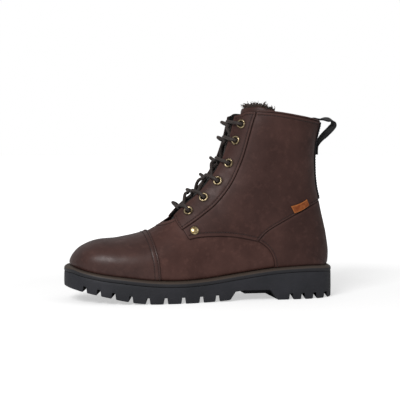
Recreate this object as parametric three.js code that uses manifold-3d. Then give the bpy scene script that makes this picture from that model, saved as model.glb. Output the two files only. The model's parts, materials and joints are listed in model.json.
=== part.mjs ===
// A left lace-up winter boot with a fleece lining, a stitched toe cap, six pairs of eyelets and a lugged
// rubber sole. Millimetres, +Z up, toe towards -X, outer (lateral) side towards -Y, standing on z = 0.
import * as THREE from "three";
import { mergeVertices } from "three/addons/utils/BufferGeometryUtils.js";
import Module from "manifold-3d";

const wasm = await Module();
wasm.setup();

// ---------------------------------------------------------------- driving dimensions

const GAP = 0.3; // air between touching pieces
const LEATHER = 1.5; // thickness of every leather panel
const FLEECE = 4.7; // thickness of the fleece lining
const LINING_OUT = -LEATHER - GAP; // layers are named by their distance out from the vamp's face
const LINING_IN = LINING_OUT - FLEECE;
const OVERLAY_OUT = GAP + LEATHER; // cap, quarters, facings and heel panel lie over the vamp
const FACING_LINING = 1.0;

const SKIRT = 1.5; // the feather line, where the upper is trimmed, lies this far over the last's bottom
const WELT_SIDE = 6.2; // how far the welt stands out past the feather line, at the sides
const WELT_TOE = 8; // at the toe
const WELT_HEEL = 5.6; // and at the back of the heel
const WELT_HEIGHT = 6;
const WELT_UNDER = 3; // how far it reaches in under the upper
const WELT_FLAT = 3.8; // width of its level top, out from the feather line
const WELT_DROP = 0.3; // the welt's top lies this far under the feather line
const FILLER_HEIGHT = 4;
const BOARD_HEIGHT = 1.7;
const FOOTBED_HEIGHT = 5;

const THROAT_HALF = 17; // half the gap between the two facings
const EYELET_BORE = 2.9;
const EYELET_FLANGE = 5.4;
const LACE_RADIUS = 1.9;
const LOOP_WIDTH = 18;
const LOOP_THICK = 1.8;
const BACKSTAY_HALF = 12;
const BACKSTAY_THICK = 1.4;

// The last, as sections that fan from the toe round the instep to the top of the shaft. Each section is a
// line in the middle plane from the bottom or back (bx, bz) to the top or front (fx, fz), with:
// wide, the largest half widths on the outer and inner side; sole, the half widths at the feather line;
// at, where along the line it is widest; round, how square its top is; mid, its sideways shift.
const LAST = [
  { fx: -142.6, fz: 37.4, bx: -142.6, bz: 37.4, wide: [0, 0], sole: [0, 0], at: 0.3, round: 2.2, mid: 4 },
  { fx: -142.2, fz: 44, bx: -140.8, bz: 36.6, wide: [14, 14], sole: [13, 13], at: 0.3, round: 2.2, mid: 4 },
  { fx: -137, fz: 52.2, bx: -136, bz: 35, wide: [26, 25.5], sole: [24.5, 24], at: 0.3, round: 2.3, mid: 4 },
  { fx: -128.5, fz: 58.8, bx: -127.5, bz: 32.9, wide: [35.5, 35], sole: [33.5, 33], at: 0.3, round: 2.4, mid: 3 },
  { fx: -113.5, fz: 64.4, bx: -113, bz: 30.2, wide: [43, 41], sole: [41.5, 39.5], at: 0.28, round: 2.35, mid: 2.5 },
  { fx: -90, fz: 66.8, bx: -90, bz: 27.2, wide: [48, 44.5], sole: [46.5, 43], at: 0.26, round: 2.3, mid: 2 },
  { fx: -64, fz: 72.9, bx: -62, bz: 23.9, wide: [49.5, 46], sole: [48, 44.5], at: 0.24, round: 2.2, mid: 1 },
  { fx: -43, fz: 85, bx: -31, bz: 22.5, wide: [47.6, 42.2], sole: [46.2, 40.8], at: 0.2, round: 2.15, mid: 0 },
  { fx: -37, fz: 91.2, bx: 0, bz: 24, wide: [43.4, 38.2], sole: [41.6, 35.2], at: 0.22, round: 2.25, mid: 0 },
  { fx: -32.2, fz: 97.4, bx: 36, bz: 28.5, wide: [40.6, 37.2], sole: [37.2, 31.8], at: 0.28, round: 2.35, mid: 0 },
  { fx: -27.4, fz: 103, bx: 76, bz: 33.3, wide: [39, 36.7], sole: [34.2, 31.8], at: 0.34, round: 2.45, mid: 0 },
  { fx: -22.4, fz: 108.2, bx: 112, bz: 35.1, wide: [38.2, 36.7], sole: [33.2, 32.7], at: 0.38, round: 2.5, mid: 0 },
  { fx: -16.8, fz: 113.4, bx: 133, bz: 34.5, wide: [37.8, 36.7], sole: [26.2, 26.7], at: 0.4, round: 2.5, mid: 0 },
  { fx: -11.2, fz: 118.6, bx: 141.4, bz: 34.2, wide: [37.6, 36.7], sole: [15.5, 16], at: 0.42, round: 2.5, mid: 0 },
  { fx: -6.1, fz: 123.5, bx: 143.9, bz: 35.4, wide: [37.6, 36.9], sole: [0, 0], at: 0.43, round: 2.5, mid: 0 },
  { fx: -1, fz: 128.7, bx: 145.2, bz: 49, wide: [37.6, 37], sole: [0, 0], at: 0.44, round: 2.5, mid: 0 },
  { fx: 5, fz: 136.2, bx: 143, bz: 66, wide: [37.6, 37.2], sole: [0, 0], at: 0.45, round: 2.45, mid: 0 },
  { fx: 12, fz: 146.2, bx: 139.2, bz: 84, wide: [37.6, 37.5], sole: [0, 0], at: 0.46, round: 2.4, mid: 0 },
  { fx: 18, fz: 156.4, bx: 134.8, bz: 103, wide: [38, 37.8], sole: [0, 0], at: 0.47, round: 2.35, mid: 0 },
  { fx: 23, fz: 168, bx: 130.2, bz: 123, wide: [38.7, 38.5], sole: [0, 0], at: 0.48, round: 2.3, mid: 0 },
  { fx: 27.3, fz: 181.6, bx: 128.2, bz: 145, wide: [39.7, 39.5], sole: [0, 0], at: 0.49, round: 2.2, mid: 0 },
  { fx: 30.5, fz: 194.2, bx: 128.8, bz: 170, wide: [40.7, 40.5], sole: [0, 0], at: 0.5, round: 2.15, mid: 0 },
  { fx: 33, fz: 205.8, bx: 134, bz: 193, wide: [41.5, 41.5], sole: [0, 0], at: 0.5, round: 2.1, mid: 0 },
  { fx: 35.5, fz: 222, bx: 139.5, bz: 216, wide: [42, 42], sole: [0, 0], at: 0.5, round: 2.1, mid: 0 },
];
const FIRST_CLOSED = 14; // the first section that closes at the back of the heel
const LAST_END = LAST.length - 1;
const BACK_ROUND = 2.2;

// Seams, seen from the side as [x, z].
const CAP_SEAM = [[-60.5, 90], [-59, 74], [-57.5, 66], [-55.2, 55], [-53, 42], [-51, 15]];
const COLLAR = [[10, 196], [38, 202], [46, 205.4], [56, 205.4], [77, 204], [105, 199.8], [136, 194.8], [160, 191.4]];
const FACING_SEAM = [[56.5, 225], [55.7, 205], [52.2, 192.6], [44.3, 163], [38.4, 146], [30, 128.2], [20, 113.8],
  [9.7, 102.6], [-1.7, 93.6], [-13.1, 85.4], [-25.5, 77.4]];
const SEAM_TOP = [55.8, 205.4]; // where the facing seam meets the collar
const FACING_TOE = [[-33.5, 97], [-31.9, 89.5], [-30.2, 83.5], [-25.5, 76.2], [-19.5, 67]];
const QUARTER_HEM = [[-19.5, 67], [-8.8, 69.4], [7.8, 70.4], [22, 70.2], [38, 68.4], [57, 64.4]];
const HEEL_SEAM = [[57, 64.4], [68, 75.4], [88.6, 87.5], [108, 97.5], [120, 103], [133.7, 107.6], [160, 110]];
const VAMP_END = [[57, 64.4], [65.5, 58.5], [71.4, 51.5], [75.5, 41], [77, 25], [77, 10]];
const THROAT = [[-50, 83.4], [-43, 85.4], [-36, 88.2], [-30.5, 90.6], [-20, 86]];

const EYELETS = [[41.5, 192.2], [35.7, 174.3], [27.8, 149.3], [15.6, 129.9], [-0.1, 111.9], [-17.2, 97.2]];
const RIVET = [-13, 76.6];
const TAG = [[97.9, 94.2], [115.1, 102.8], [112, 109.6], [93.4, 102.4]]; // hinge edge first

// Sole profile along its length as [x, z]: the tread's underside, and where lugs are parted.
const TREAD = [[-160, 19], [-150, 16.8], [-132, 12.6], [-108, 7.6], [-94, 4.4], [-80, 1.9], [-66, 0.4], [-56, 0],
  [-12, 0], [10, 0.7], [25, 1.6], [31, 10.4], [42, 11.6], [70.5, 11.2], [80, 0], [138, 0], [160, 1.6]];
const GROOVES = [-134, -118.5, -102.5, -84, -65.7, -46.6, -27.5, -8, 9.5, 92.5, 106, 119.5, 132.5];
const GROOVE_DEPTH = 6.5;
const GROOVE_WIDTH = 4.4;
const GROOVE_LEAN = 0.19; // sideways slant of the grooves, x per y
const LUG_RING = 21; // depth of the outer ring of lugs

// ---------------------------------------------------------------- the last's surface

const clamp = THREE.MathUtils.clamp;

// Catmull-Rom value at u through numbers that stand at 0, 1, 2 and so on.
function along(values, u) {
  const i = clamp(Math.floor(u), 0, values.length - 2);
  const t = u - i;
  const [a, b, c, d] = [i - 1, i, i + 1, i + 2].map((k) => values[clamp(k, 0, values.length - 1)]);
  return b + 0.5 * t * (c - a + t * (2 * a - 5 * b + 4 * c - d + t * (3 * (b - c) + d - a)));
}

const column = (pick) => LAST.map(pick);
const LAST_COLUMNS = {
  fx: column((r) => r.fx),
  fz: column((r) => r.fz),
  bx: column((r) => r.bx),
  bz: column((r) => r.bz),
  wide: [column((r) => r.wide[0]), column((r) => r.wide[1])],
  sole: [column((r) => r.sole[0]), column((r) => r.sole[1])],
  at: column((r) => r.at),
  round: column((r) => r.round),
  mid: column((r) => r.mid),
};

// The section at u, with the half widths of the side asked for (0 outer, 1 inner).
function section(u, side) {
  const c = LAST_COLUMNS;
  return {
    front: new THREE.Vector2(along(c.fx, u), along(c.fz, u)),
    back: new THREE.Vector2(along(c.bx, u), along(c.bz, u)),
    wide: along(c.wide[side], u),
    sole: u >= FIRST_CLOSED ? 0 : Math.max(0, along(c.sole[side], u)),
    at: along(c.at, u),
    round: along(c.round, u),
    mid: along(c.mid, u),
  };
}

// Half width of a section at share s of the way from its back or bottom to its front or top.
function halfWidth(sec, s) {
  if (s >= sec.at) {
    const far = (s - sec.at) / (1 - sec.at);
    return sec.wide * Math.max(0, 1 - far ** sec.round) ** (1 / sec.round);
  }
  const closing = 1 - (sec.sole / Math.max(sec.wide, 1e-6)) ** BACK_ROUND;
  const far = (sec.at - s) / sec.at;
  return sec.wide * Math.max(0, 1 - closing * far ** BACK_ROUND) ** (1 / BACK_ROUND);
}

// A point of the last: u picks the section, v runs from -1 (outer bottom) over 0 (ridge) to 1 (inner bottom).
function lastPoint(u, v) {
  const side = v < 0 ? 0 : 1;
  const sec = section(u, side);
  const s = 1 - (1 - Math.cos(Math.PI * Math.abs(v))) / 2;
  const flat = sec.back.clone().lerp(sec.front, s);
  const half = Math.abs(v) >= 1 ? sec.sole : Math.abs(v) === 0 ? 0 : halfWidth(sec, s);
  return new THREE.Vector3(flat.x, sec.mid + (v < 0 ? -half : half), flat.y);
}

function lastNormal(u, v) {
  const e = 0.02;
  const du = lastPoint(Math.min(u + e, LAST_END), v).sub(lastPoint(Math.max(u - e, 0), v));
  const dv = lastPoint(u, v + e).sub(lastPoint(u, v - e));
  return du.cross(dv).normalize();
}

const skin = (u, v, out) => lastPoint(u, v).addScaledVector(lastNormal(u, v), out);

// The u and v of the point that stands at (x, z) in the side view, on one side of the boot.
function locate(x, z, side) {
  const sign = side === 0 ? -1 : 1;
  let best = { u: 0, v: 0, miss: Infinity };
  let [stepU, stepV] = [1, 0.1];
  const tryAt = (u, v) => {
    const p = lastPoint(u, sign * v);
    const miss = Math.hypot(p.x - x, p.z - z);
    if (miss < best.miss) best = { u, v, miss };
  };
  for (let u = 0; u <= LAST_END; u += stepU) for (let v = 0.02; v < 1; v += stepV) tryAt(u, v);
  for (let pass = 0; pass < 22; pass += 1) {
    const { u, v } = best;
    for (const a of [-stepU, 0, stepU]) {
      for (const b of [-stepV, 0, stepV]) tryAt(clamp(u + a, 0, LAST_END), clamp(v + b, 0.01, 0.99));
    }
    stepU *= 0.7;
    stepV *= 0.7;
  }
  return { u: best.u, v: sign * best.v };
}

// ---------------------------------------------------------------- solids

function toSolid(geometry) {
  const bare = new THREE.BufferGeometry().setAttribute("position", geometry.getAttribute("position"));
  if (geometry.index) bare.setIndex(geometry.index);
  const merged = mergeVertices(bare, 1e-4);
  const faces = [];
  const index = merged.index.array;
  for (let i = 0; i < index.length; i += 3) {
    const [a, b, c] = [index[i], index[i + 1], index[i + 2]];
    if (a !== b && b !== c && a !== c) faces.push(a, b, c);
  }
  return new wasm.Manifold(new wasm.Mesh({
    numProp: 3,
    vertProperties: Float32Array.from(merged.attributes.position.array),
    triVerts: Uint32Array.from(faces),
  }));
}

function toGeometry(solid) {
  const mesh = solid.getMesh();
  const geometry = new THREE.BufferGeometry();
  geometry.setAttribute("position", new THREE.BufferAttribute(Float32Array.from(mesh.vertProperties), 3));
  geometry.setIndex([...mesh.triVerts]);
  return geometry;
}

const steps = (from, to, count) => Array.from({ length: count + 1 }, (_, i) => from + ((to - from) * i) / count);

// Faces of a grid of points, rows by columns.
function gridFaces(rows, columns) {
  const faces = [];
  for (let r = 0; r < rows - 1; r += 1) {
    for (let c = 0; c < columns - 1; c += 1) {
      const a = r * columns + c;
      faces.push([a, a + columns, a + 1], [a + 1, a + columns, a + columns + 1]);
    }
  }
  return faces;
}

// A closed solid between two like grids of points: outer faces, inner faces and a wall round every open edge.
function between(outer, inner, faces) {
  const points = [...outer, ...inner];
  const half = outer.length;
  const key = (p) => `${p.x.toFixed(4)} ${p.y.toFixed(4)} ${p.z.toFixed(4)}`;
  const known = new Map();
  const same = outer.map((p, i) => {
    if (!known.has(key(p))) known.set(key(p), i);
    return known.get(key(p));
  });
  const used = new Set();
  const kept = faces.map((f) => f.map((i) => same[i])).filter(([a, b, c]) => a !== b && b !== c && a !== c);
  kept.forEach(([a, b, c]) => [[a, b], [b, c], [c, a]].forEach(([p, q]) => used.add(`${p},${q}`)));
  const all = kept.flatMap(([a, b, c]) => [a, b, c, a + half, c + half, b + half]);
  for (const edge of used) {
    const [a, b] = edge.split(",").map(Number);
    if (!used.has(`${b},${a}`)) all.push(b, a, a + half, b, a + half, b + half);
  }
  const geometry = new THREE.BufferGeometry();
  geometry.setAttribute("position", new THREE.Float32BufferAttribute(points.flatMap((p) => p.toArray()), 3));
  geometry.setIndex(all);
  return toSolid(geometry);
}

// The last's grid that all shells share, with the points at the toe and the back seam as one.
const SHELL_U = [0, 0.7, 1.4, 2.2, 3, 4, ...steps(5, 12, 7), 13, 13.5, 14, ...steps(15, LAST_END, 8)];
const SHELL_V = steps(-1, 1, 14);
const shellBase = (() => {
  const points = SHELL_U.flatMap((u) => SHELL_V.map((v) => lastPoint(u, Math.abs(v) < 1e-9 ? 0 : v)));
  const faces = gridFaces(SHELL_U.length, SHELL_V.length);
  const geometry = new THREE.BufferGeometry();
  geometry.setAttribute("position", new THREE.Float32BufferAttribute(points.flatMap((p) => p.toArray()), 3));
  geometry.setIndex(faces.flat());
  const merged = mergeVertices(geometry, 1e-3);
  merged.computeVertexNormals();
  const position = merged.attributes.position;
  const normal = merged.attributes.normal;
  const index = [...merged.index.array];
  return {
    points: steps(0, position.count - 1, position.count - 1).map((i) => new THREE.Vector3().fromBufferAttribute(position, i)),
    normals: steps(0, position.count - 1, position.count - 1).map((i) => new THREE.Vector3().fromBufferAttribute(normal, i)),
    faces: steps(0, index.length / 3 - 1, index.length / 3 - 1).map((i) => index.slice(3 * i, 3 * i + 3)),
  };
})();

function shell(out, inn) {
  const at = (h) => shellBase.points.map((p, i) => p.clone().addScaledVector(shellBase.normals[i], h));
  return between(at(out), at(inn), shellBase.faces);
}

// A prism across the boot: an outline in the side view, from y = low to y = high.
function prism(outline, low = -90, high = 90) {
  const shape = new THREE.Shape(outline.map(([x, z]) => new THREE.Vector2(x, z)));
  const geometry = new THREE.ExtrudeGeometry(shape, { depth: high - low, bevelEnabled: false });
  geometry.rotateX(Math.PI / 2).translate(0, high, 0);
  return toSolid(geometry);
}

// A smooth curve through a few points of the side view, optionally moved sideways by a distance.
function curve(points, count = 12, move = 0) {
  const spline = new THREE.SplineCurve(points.map(([x, z]) => new THREE.Vector2(x, z)));
  return steps(0, 1, count).map((t) => {
    const p = spline.getPoint(t);
    const d = spline.getTangent(clamp(t, 0.001, 0.999));
    return [p.x - d.y * move, p.y + d.x * move];
  });
}

const reversed = (points) => [...points].reverse();

// ---------------------------------------------------------------- plates under the foot

const heelEnd = 144.6;
const PLAN_U = [...steps(0, 2, 4), ...steps(2.6, 12, 17), 12.35, 12.7, 13, 13.35, 13.7];

// Half the feather line in plan, toe to heel, on one side.
function featherSide(side) {
  const points = PLAN_U.map((u) => lastPoint(u, side === 0 ? -1 : 1));
  return points.concat(new THREE.Vector3(heelEnd, 0, lastPoint(FIRST_CLOSED - 0.3, 1).z));
}

function weltWidth(x) {
  const toeShare = 1 - THREE.MathUtils.smoothstep(x, -142, -110);
  const heelShare = THREE.MathUtils.smoothstep(x, heelEnd - 70, heelEnd);
  return WELT_SIDE + (WELT_TOE - WELT_SIDE) * toeShare + (WELT_HEEL - WELT_SIDE) * heelShare;
}

// The feather line's plan as one loop moved out by a distance, which may depend on x.
function planLoop(out) {
  const loop = [...featherSide(0), ...reversed(featherSide(1)).slice(1, -1)];
  return loop.map((p, i) => {
    const next = loop[(i + 1) % loop.length];
    const last = loop[(i - 1 + loop.length) % loop.length];
    const way = new THREE.Vector3(next.x - last.x, next.y - last.y, 0).normalize();
    const normal = new THREE.Vector3(way.y, -way.x, 0);
    return p.clone().addScaledVector(normal, out(p.x));
  });
}

const featherSamples = featherSide(0);
const heelLevel = lastPoint(FIRST_CLOSED - 1, 1);

// Height of the feather line at x. It runs level round the back of the heel.
function featherHeight(x) {
  if (x >= heelLevel.x) return SKIRT + heelLevel.z;
  const i = featherSamples.findIndex((p) => p.x > x);
  if (i === 0) return SKIRT + featherSamples[0].z;
  const [a, b] = [featherSamples[i - 1], featherSamples[i]];
  return SKIRT + THREE.MathUtils.lerp(a.z, b.z, (x - a.x) / (b.x - a.x));
}

// Height of a profile given as [x, z] points.
function profileHeight(profile, x) {
  const i = clamp(profile.findIndex((p) => p[0] > x), 1, profile.length - 1);
  const [a, b] = [profile[i - 1], profile[i]];
  return THREE.MathUtils.lerp(a[1], b[1], clamp((x - a[0]) / (b[0] - a[0]), 0, 1));
}

// A plate with the feather line's plan, moved out by a distance, between two heights that depend on x.
// Its faces break along a second line, which makes it fit a piece whose inner rim lies there.
function plate(out, high, low, breakLine = -WELT_UNDER) {
  const count = featherSamples.length;
  const [wide, narrow] = [planLoop(out), planLoop(() => breakLine)].map((loop) => ({
    outerSide: loop.slice(0, count),
    innerSide: [loop[0], ...reversed(loop.slice(count)), loop[count - 1]],
  }));
  const rows = wide.outerSide.flatMap((p, i) => [p, narrow.outerSide[i], narrow.innerSide[i], wide.innerSide[i]]);
  const at = (height) => rows.map((p) => new THREE.Vector3(p.x, p.y, height(p.x)));
  return between(at(high), at(low), gridFaces(count, 4));
}

function buildWelt() {
  const low = -WELT_HEIGHT - WELT_DROP;
  const profile = (w) => [[-WELT_UNDER, low], [w, low], [w, -WELT_DROP - 2], [w - 1, -WELT_DROP - 1.3],
    [WELT_FLAT, -WELT_DROP], [-WELT_UNDER, -WELT_DROP]];
  const loops = profile(0).map(([, z], k) => planLoop((x) => profile(weltWidth(x))[k][0])
    .map((p) => new THREE.Vector3(p.x, p.y, featherHeight(p.x) + z)));
  const count = loops[0].length;
  const points = loops.flat();
  const faces = [];
  loops.forEach((_, k) => {
    const [a, b] = [k * count, ((k + 1) % loops.length) * count];
    for (let i = 0; i < count; i += 1) {
      const j = (i + 1) % count;
      faces.push(a + i, a + j, b + j, a + i, b + j, b + i);
    }
  });
  const geometry = new THREE.BufferGeometry();
  geometry.setAttribute("position", new THREE.Float32BufferAttribute(points.flatMap((p) => p.toArray()), 3));
  geometry.setIndex(faces);
  return toSolid(geometry);
}

const OUTSOLE_TOP = WELT_DROP + WELT_HEIGHT + GAP;

function buildOutsole() {
  const body = plate(weltWidth, (x) => featherHeight(x) - OUTSOLE_TOP, () => -20);
  const under = prism([[-200, -40], ...TREAD.map(([x, z]) => [clamp(x, -200, 200), z]), [200, -40]]);
  let sole = body.subtract(under);
  const cuts = GROOVES.map((x) => {
    const z = profileHeight(TREAD, x);
    const slope = (profileHeight(TREAD, x + 6) - profileHeight(TREAD, x - 6)) / 12;
    const half = GROOVE_WIDTH / 2;
    const outline = [[-half - 1, -6], [half + 1, -6], [half - 0.6, GROOVE_DEPTH], [-half + 0.6, GROOVE_DEPTH]]
      .map(([a, b]) => [x + a, z + b + a * slope]);
    const cut = prism(outline);
    return cut.transform([1, 0, 0, 0, GROOVE_LEAN, 1, 0, 0, 0, 0, 1, 0, GROOVE_LEAN * 50, 0, 0, 1]);
  });
  // A channel parts the outer ring of lugs from the blocks in the middle.
  const height = (x) => profileHeight(TREAD, x);
  const inside = (out, high) => plate(() => out, (x) => height(x) + high, (x) => height(x) - 9, -26);
  const ring = inside(-LUG_RING + 6, GROOVE_DEPTH - 0.7).subtract(inside(-LUG_RING + 1, GROOVE_DEPTH + 1));
  const tread = prism([[-128, -9], [26, -9], [26, 20], [-128, 20]]).add(prism([[84, -9], [112, -9], [112, 9], [84, 9]]));
  cuts.forEach((cut) => { sole = sole.subtract(cut); });
  sole = sole.subtract(ring.intersect(tread));
  const plaque = prism([[46, 5.4], [76, 4.6], [76, 13], [46, 13]], -19, 19);
  return sole.add(plaque);
}

const SHANK = { from: 2, to: 108, half: 6.5, thick: 1.5 };

function buildShank(grow) {
  const top = (x) => featherHeight(x) - WELT_DROP - BOARD_HEIGHT - GAP;
  const xs = steps(SHANK.from - grow, SHANK.to + grow, 8);
  const rim = [...xs.map((x) => [x, top(x) - SHANK.thick - grow]), ...reversed(xs).map((x) => [x, top(x) + 3 * grow])];
  return prism(rim, -SHANK.half - grow, SHANK.half + grow);
}

const FILLER_OUT = -WELT_UNDER - GAP;

function buildFiller() {
  const top = (x) => featherHeight(x) - WELT_DROP - BOARD_HEIGHT - GAP;
  return plate(() => FILLER_OUT, top, (x) => top(x) - FILLER_HEIGHT, -12).subtract(buildShank(GAP));
}

function buildInsoleBoard() {
  const top = (x) => featherHeight(x) - WELT_DROP;
  return plate(() => FILLER_OUT, top, (x) => top(x) - BOARD_HEIGHT, -12);
}

function buildFootbed() {
  const low = (x) => featherHeight(x) - WELT_DROP + GAP;
  return plate(() => LINING_IN - 5.1, (x) => low(x) + FOOTBED_HEIGHT, low, -16);
}

// ---------------------------------------------------------------- leather panels

const floor = plate(() => WELT_FLAT, featherHeight, () => -20).add(buildWelt().translate([0, 0, GAP]));
const trimmed = (out, inn) => shell(out, inn).subtract(floor);
const overlay = trimmed(OVERLAY_OUT, GAP);
const underlay = trimmed(0, -LEATHER);
const liningLayer = trimmed(LINING_OUT, LINING_IN);
const collarLine = curve(COLLAR, 14);
const collarTop = reversed(collarLine);

// The slot between the facings, open to the front and the top.
function throatSlot(halfWidth, low) {
  return prism([[-70, low], [-30, low + 2], [62, 190], [62, 240], [-70, 240]], -halfWidth, halfWidth);
}

// Outline of a quarter: collar, facing seam, hem and heel seam.
const quarterOutline = [
  ...collarTop.filter(([x]) => x > 58),
  [SEAM_TOP[0] + GAP / 2, SEAM_TOP[1]],
  ...curve(FACING_SEAM, 11, GAP / 2).filter(([, z]) => z < 203),
  [-24.6, 76.4],
  ...curve(QUARTER_HEM, 8),
  ...curve(HEEL_SEAM, 10, GAP / 2).slice(1),
];

const facingOutline = [
  [SEAM_TOP[0] - GAP / 2, SEAM_TOP[1]],
  ...collarTop.filter(([x]) => x < 54 && x > -20),
  [-60, 198],
  [-60, 96],
  ...curve(FACING_TOE, 8).filter(([, z]) => z > 77 && z < 95),
  ...reversed(curve(FACING_SEAM, 11, -GAP / 2)).filter(([, z]) => z < 203),
];

function eyeletSpots(side) {
  return EYELETS.map(([x, z]) => {
    const { u, v } = locate(x, z, side);
    return { u, v, point: lastPoint(u, v), normal: lastNormal(u, v) };
  });
}

const spots = [eyeletSpots(0), eyeletSpots(1)];
const rivetSpots = [0, 1].map((side) => {
  const { u, v } = locate(RIVET[0], RIVET[1], side);
  return { point: lastPoint(u, v), normal: lastNormal(u, v) };
});

// A short cylinder along a spot's normal, from one height over the last to another.
function plug(spot, radius, low, high, sides = 12) {
  const geometry = new THREE.CylinderGeometry(radius, radius, high - low, sides);
  const turn = new THREE.Quaternion().setFromUnitVectors(new THREE.Vector3(0, 1, 0), spot.normal);
  geometry.applyQuaternion(turn);
  const centre = spot.point.clone().addScaledVector(spot.normal, (low + high) / 2);
  geometry.translate(centre.x, centre.y, centre.z);
  return toSolid(geometry);
}

const EYELET_BARREL = 3.4;
const holes = spots.map((row) => row.map((spot) => plug(spot, EYELET_BARREL + GAP, -6, 6)));
const sideRange = [[-90, -GAP / 2], [GAP / 2, 90]];

function buildFacing(side) {
  let panel = overlay.intersect(prism(facingOutline, ...sideRange[side])).subtract(throatSlot(THROAT_HALF, 60));
  holes[side].forEach((hole) => { panel = panel.subtract(hole); });
  return panel;
}

function buildFacingLining(side) {
  const strip = [...facingOutline.slice(0, -14), ...reversed(curve(FACING_SEAM, 11, 5)).filter(([, z]) => z < 204)];
  let panel = shell(0, -FACING_LINING).intersect(prism(strip, ...sideRange[side]));
  panel = panel.subtract(throatSlot(THROAT_HALF, 60)).subtract(buildVampBlock());
  spots[side].forEach((spot) => { panel = panel.subtract(plug(spot, EYELET_FLANGE - 0.5, -6, 2)); });
  return panel;
}

function buildQuarter(side) {
  return overlay.intersect(prism(quarterOutline, ...sideRange[side])).subtract(plug(rivetSpots[side], 1.9, -4, 6));
}

function buildHeelPanel() {
  const outline = [...curve(HEEL_SEAM, 10, -GAP / 2), [160, 10], ...reversed(curve(VAMP_END, 8, GAP / 2)).slice(0, -1)];
  return overlay.intersect(prism(outline));
}

function buildToeCap() {
  return overlay.intersect(prism([[-160, 10], [-160, 95], ...curve(CAP_SEAM, 8)]));
}

const CAP_MARGIN = 12; // how far the vamp runs on under the cap
const VAMP_MARGIN = 13; // and under the quarters and the heel panel

const vampOutline = [
  ...reversed(curve(CAP_SEAM, 8, -CAP_MARGIN)),
  [-58, 100],
  ...curve(THROAT, 8).filter(([x]) => x > -50),
  [-10, 80],
  ...curve(QUARTER_HEM, 8, VAMP_MARGIN).slice(2),
  ...curve(VAMP_END, 8, VAMP_MARGIN),
];

function buildVamp() {
  let vamp = underlay.intersect(prism(vampOutline));
  rivetSpots.forEach((spot) => { vamp = vamp.subtract(plug(spot, 1.9, -6, 6)); });
  return vamp;
}

// What the facing linings keep clear of.
function buildVampBlock() {
  return prism([[-90, 0], [-58, 100], ...curve(THROAT, 8, GAP).filter(([x]) => x > -50), [-10, 80 + GAP], [30, 80], [30, 0]]);
}

function buildToePuff() {
  return underlay.intersect(prism([[-160, 10], [-160, 95], ...curve(CAP_SEAM, 8, -CAP_MARGIN - GAP)]));
}

function buildHeelCounter() {
  const front = curve(VAMP_END, 8, VAMP_MARGIN + GAP);
  return underlay.intersect(prism([[160, 10], ...reversed(front).slice(0, -2), [78, 68], [100, 80], [160, 92]]));
}

function buildCollarBinding() {
  const low = collarLine.map(([x, z]) => [x, z + GAP]);
  const high = collarLine.map(([x, z]) => [x, z + GAP + 1.2]);
  const band = prism([...low, ...reversed(high)]);
  const front = prism([[-70, 150], [56.5, 150], [56.5, 240], [-70, 240]]);
  return shell(OVERLAY_OUT, LINING_IN).intersect(band).subtract(front);
}

// ---------------------------------------------------------------- lining

const LINING_SPLIT = [[8, 10], [8, 60], [-2, 72], [-20, 80]];

function buildVampLining() {
  const outline = [[-160, 10], ...LINING_SPLIT.map(([x, z]) => [x - GAP, z]), [-40, 70], [-54, 75], [-66, 100], [-160, 100]];
  let lining = liningLayer.intersect(prism(outline));
  rivetSpots.forEach((spot) => { lining = lining.subtract(plug(spot, 4, -4.5, 4)); });
  return lining;
}

function buildQuarterLining() {
  const behindFacing = reversed(curve(FACING_SEAM, 11, 8)).filter(([x, z]) => z < 204 && x > -12);
  const outline = [
    [160, 10],
    ...LINING_SPLIT.slice(0, 3),
    ...behindFacing.filter(([, z]) => z > 84),
    ...collarLine.filter(([x]) => x > 62),
  ];
  const front = prism([[-70, 80], [-70, 240], [40, 240], [40, 170], [-10, 110], [-20, 80]], -20, 20);
  return liningLayer.intersect(prism(outline)).subtract(front);
}

// ---------------------------------------------------------------- tongue

const TONGUE_THICK = 2.2;
const TONGUE_FLEECE = 3;
const TONGUE_TOP_DEPTH = 14.5; // how far the top of the tongue stands back from the shaft's face
const FOLD_HEIGHT = 204.5; // the brown top piece is sewn on, and folds, at this height

const ease = THREE.MathUtils.smoothstep;

// Share of the way down the side that the tongue's wings reach at section u.
const wing = (u) => THREE.MathUtils.lerp(0.2, 0.45, ease(u, 7, 21));

// How far under the vamp's face the tongue's outer face lies.
function tongueDepth(u, v) {
  const side = Math.abs(v);
  const low = 6.2 + 1.3 * ease(side, 0.02, 0.13) + 4 * ease(side, 0.31, 0.39);
  return THREE.MathUtils.lerp(low, TONGUE_TOP_DEPTH, ease(u, 16.5, 21.4));
}

// Section number at which the shaft's skin crosses a height, for a given v.
function sectionAtHeight(z, v) {
  let [low, high] = [8, LAST_END];
  for (let i = 0; i < 40; i += 1) {
    const middle = (low + high) / 2;
    if (lastPoint(middle, v).z < z) low = middle;
    else high = middle;
  }
  return (low + high) / 2;
}

// A slab of tongue, from an underface depth to a thickness; low and high give its ends as section numbers.
function tongueSlab(low, high, rows, depth, thick) {
  const shares = steps(-1, 1, 10);
  const outer = [];
  const inner = [];
  for (const share of steps(0, 1, rows)) {
    for (const across of shares) {
      const v = (across || 1e-6) * wing(THREE.MathUtils.lerp(low(0.1), high(0.1), share));
      const u = THREE.MathUtils.lerp(low(v), high(v), share);
      outer.push(skin(u, v, -tongueDepth(u, v) - depth));
      inner.push(skin(u, v, -tongueDepth(u, v) - depth - thick));
    }
  }
  return between(outer, inner, gridFaces(rows + 1, shares.length));
}

const tongueRoot = (v) => 6.8 + 2 * Math.abs(v);
const foldAt = (shift) => (v) => sectionAtHeight(FOLD_HEIGHT + shift, v);

// The top edge is a low arch that falls towards the ends of the wings.
const arch = (height, fall) => (v) => sectionAtHeight(height - fall * ease(Math.abs(v), 0.28, 0.45), v);

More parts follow.
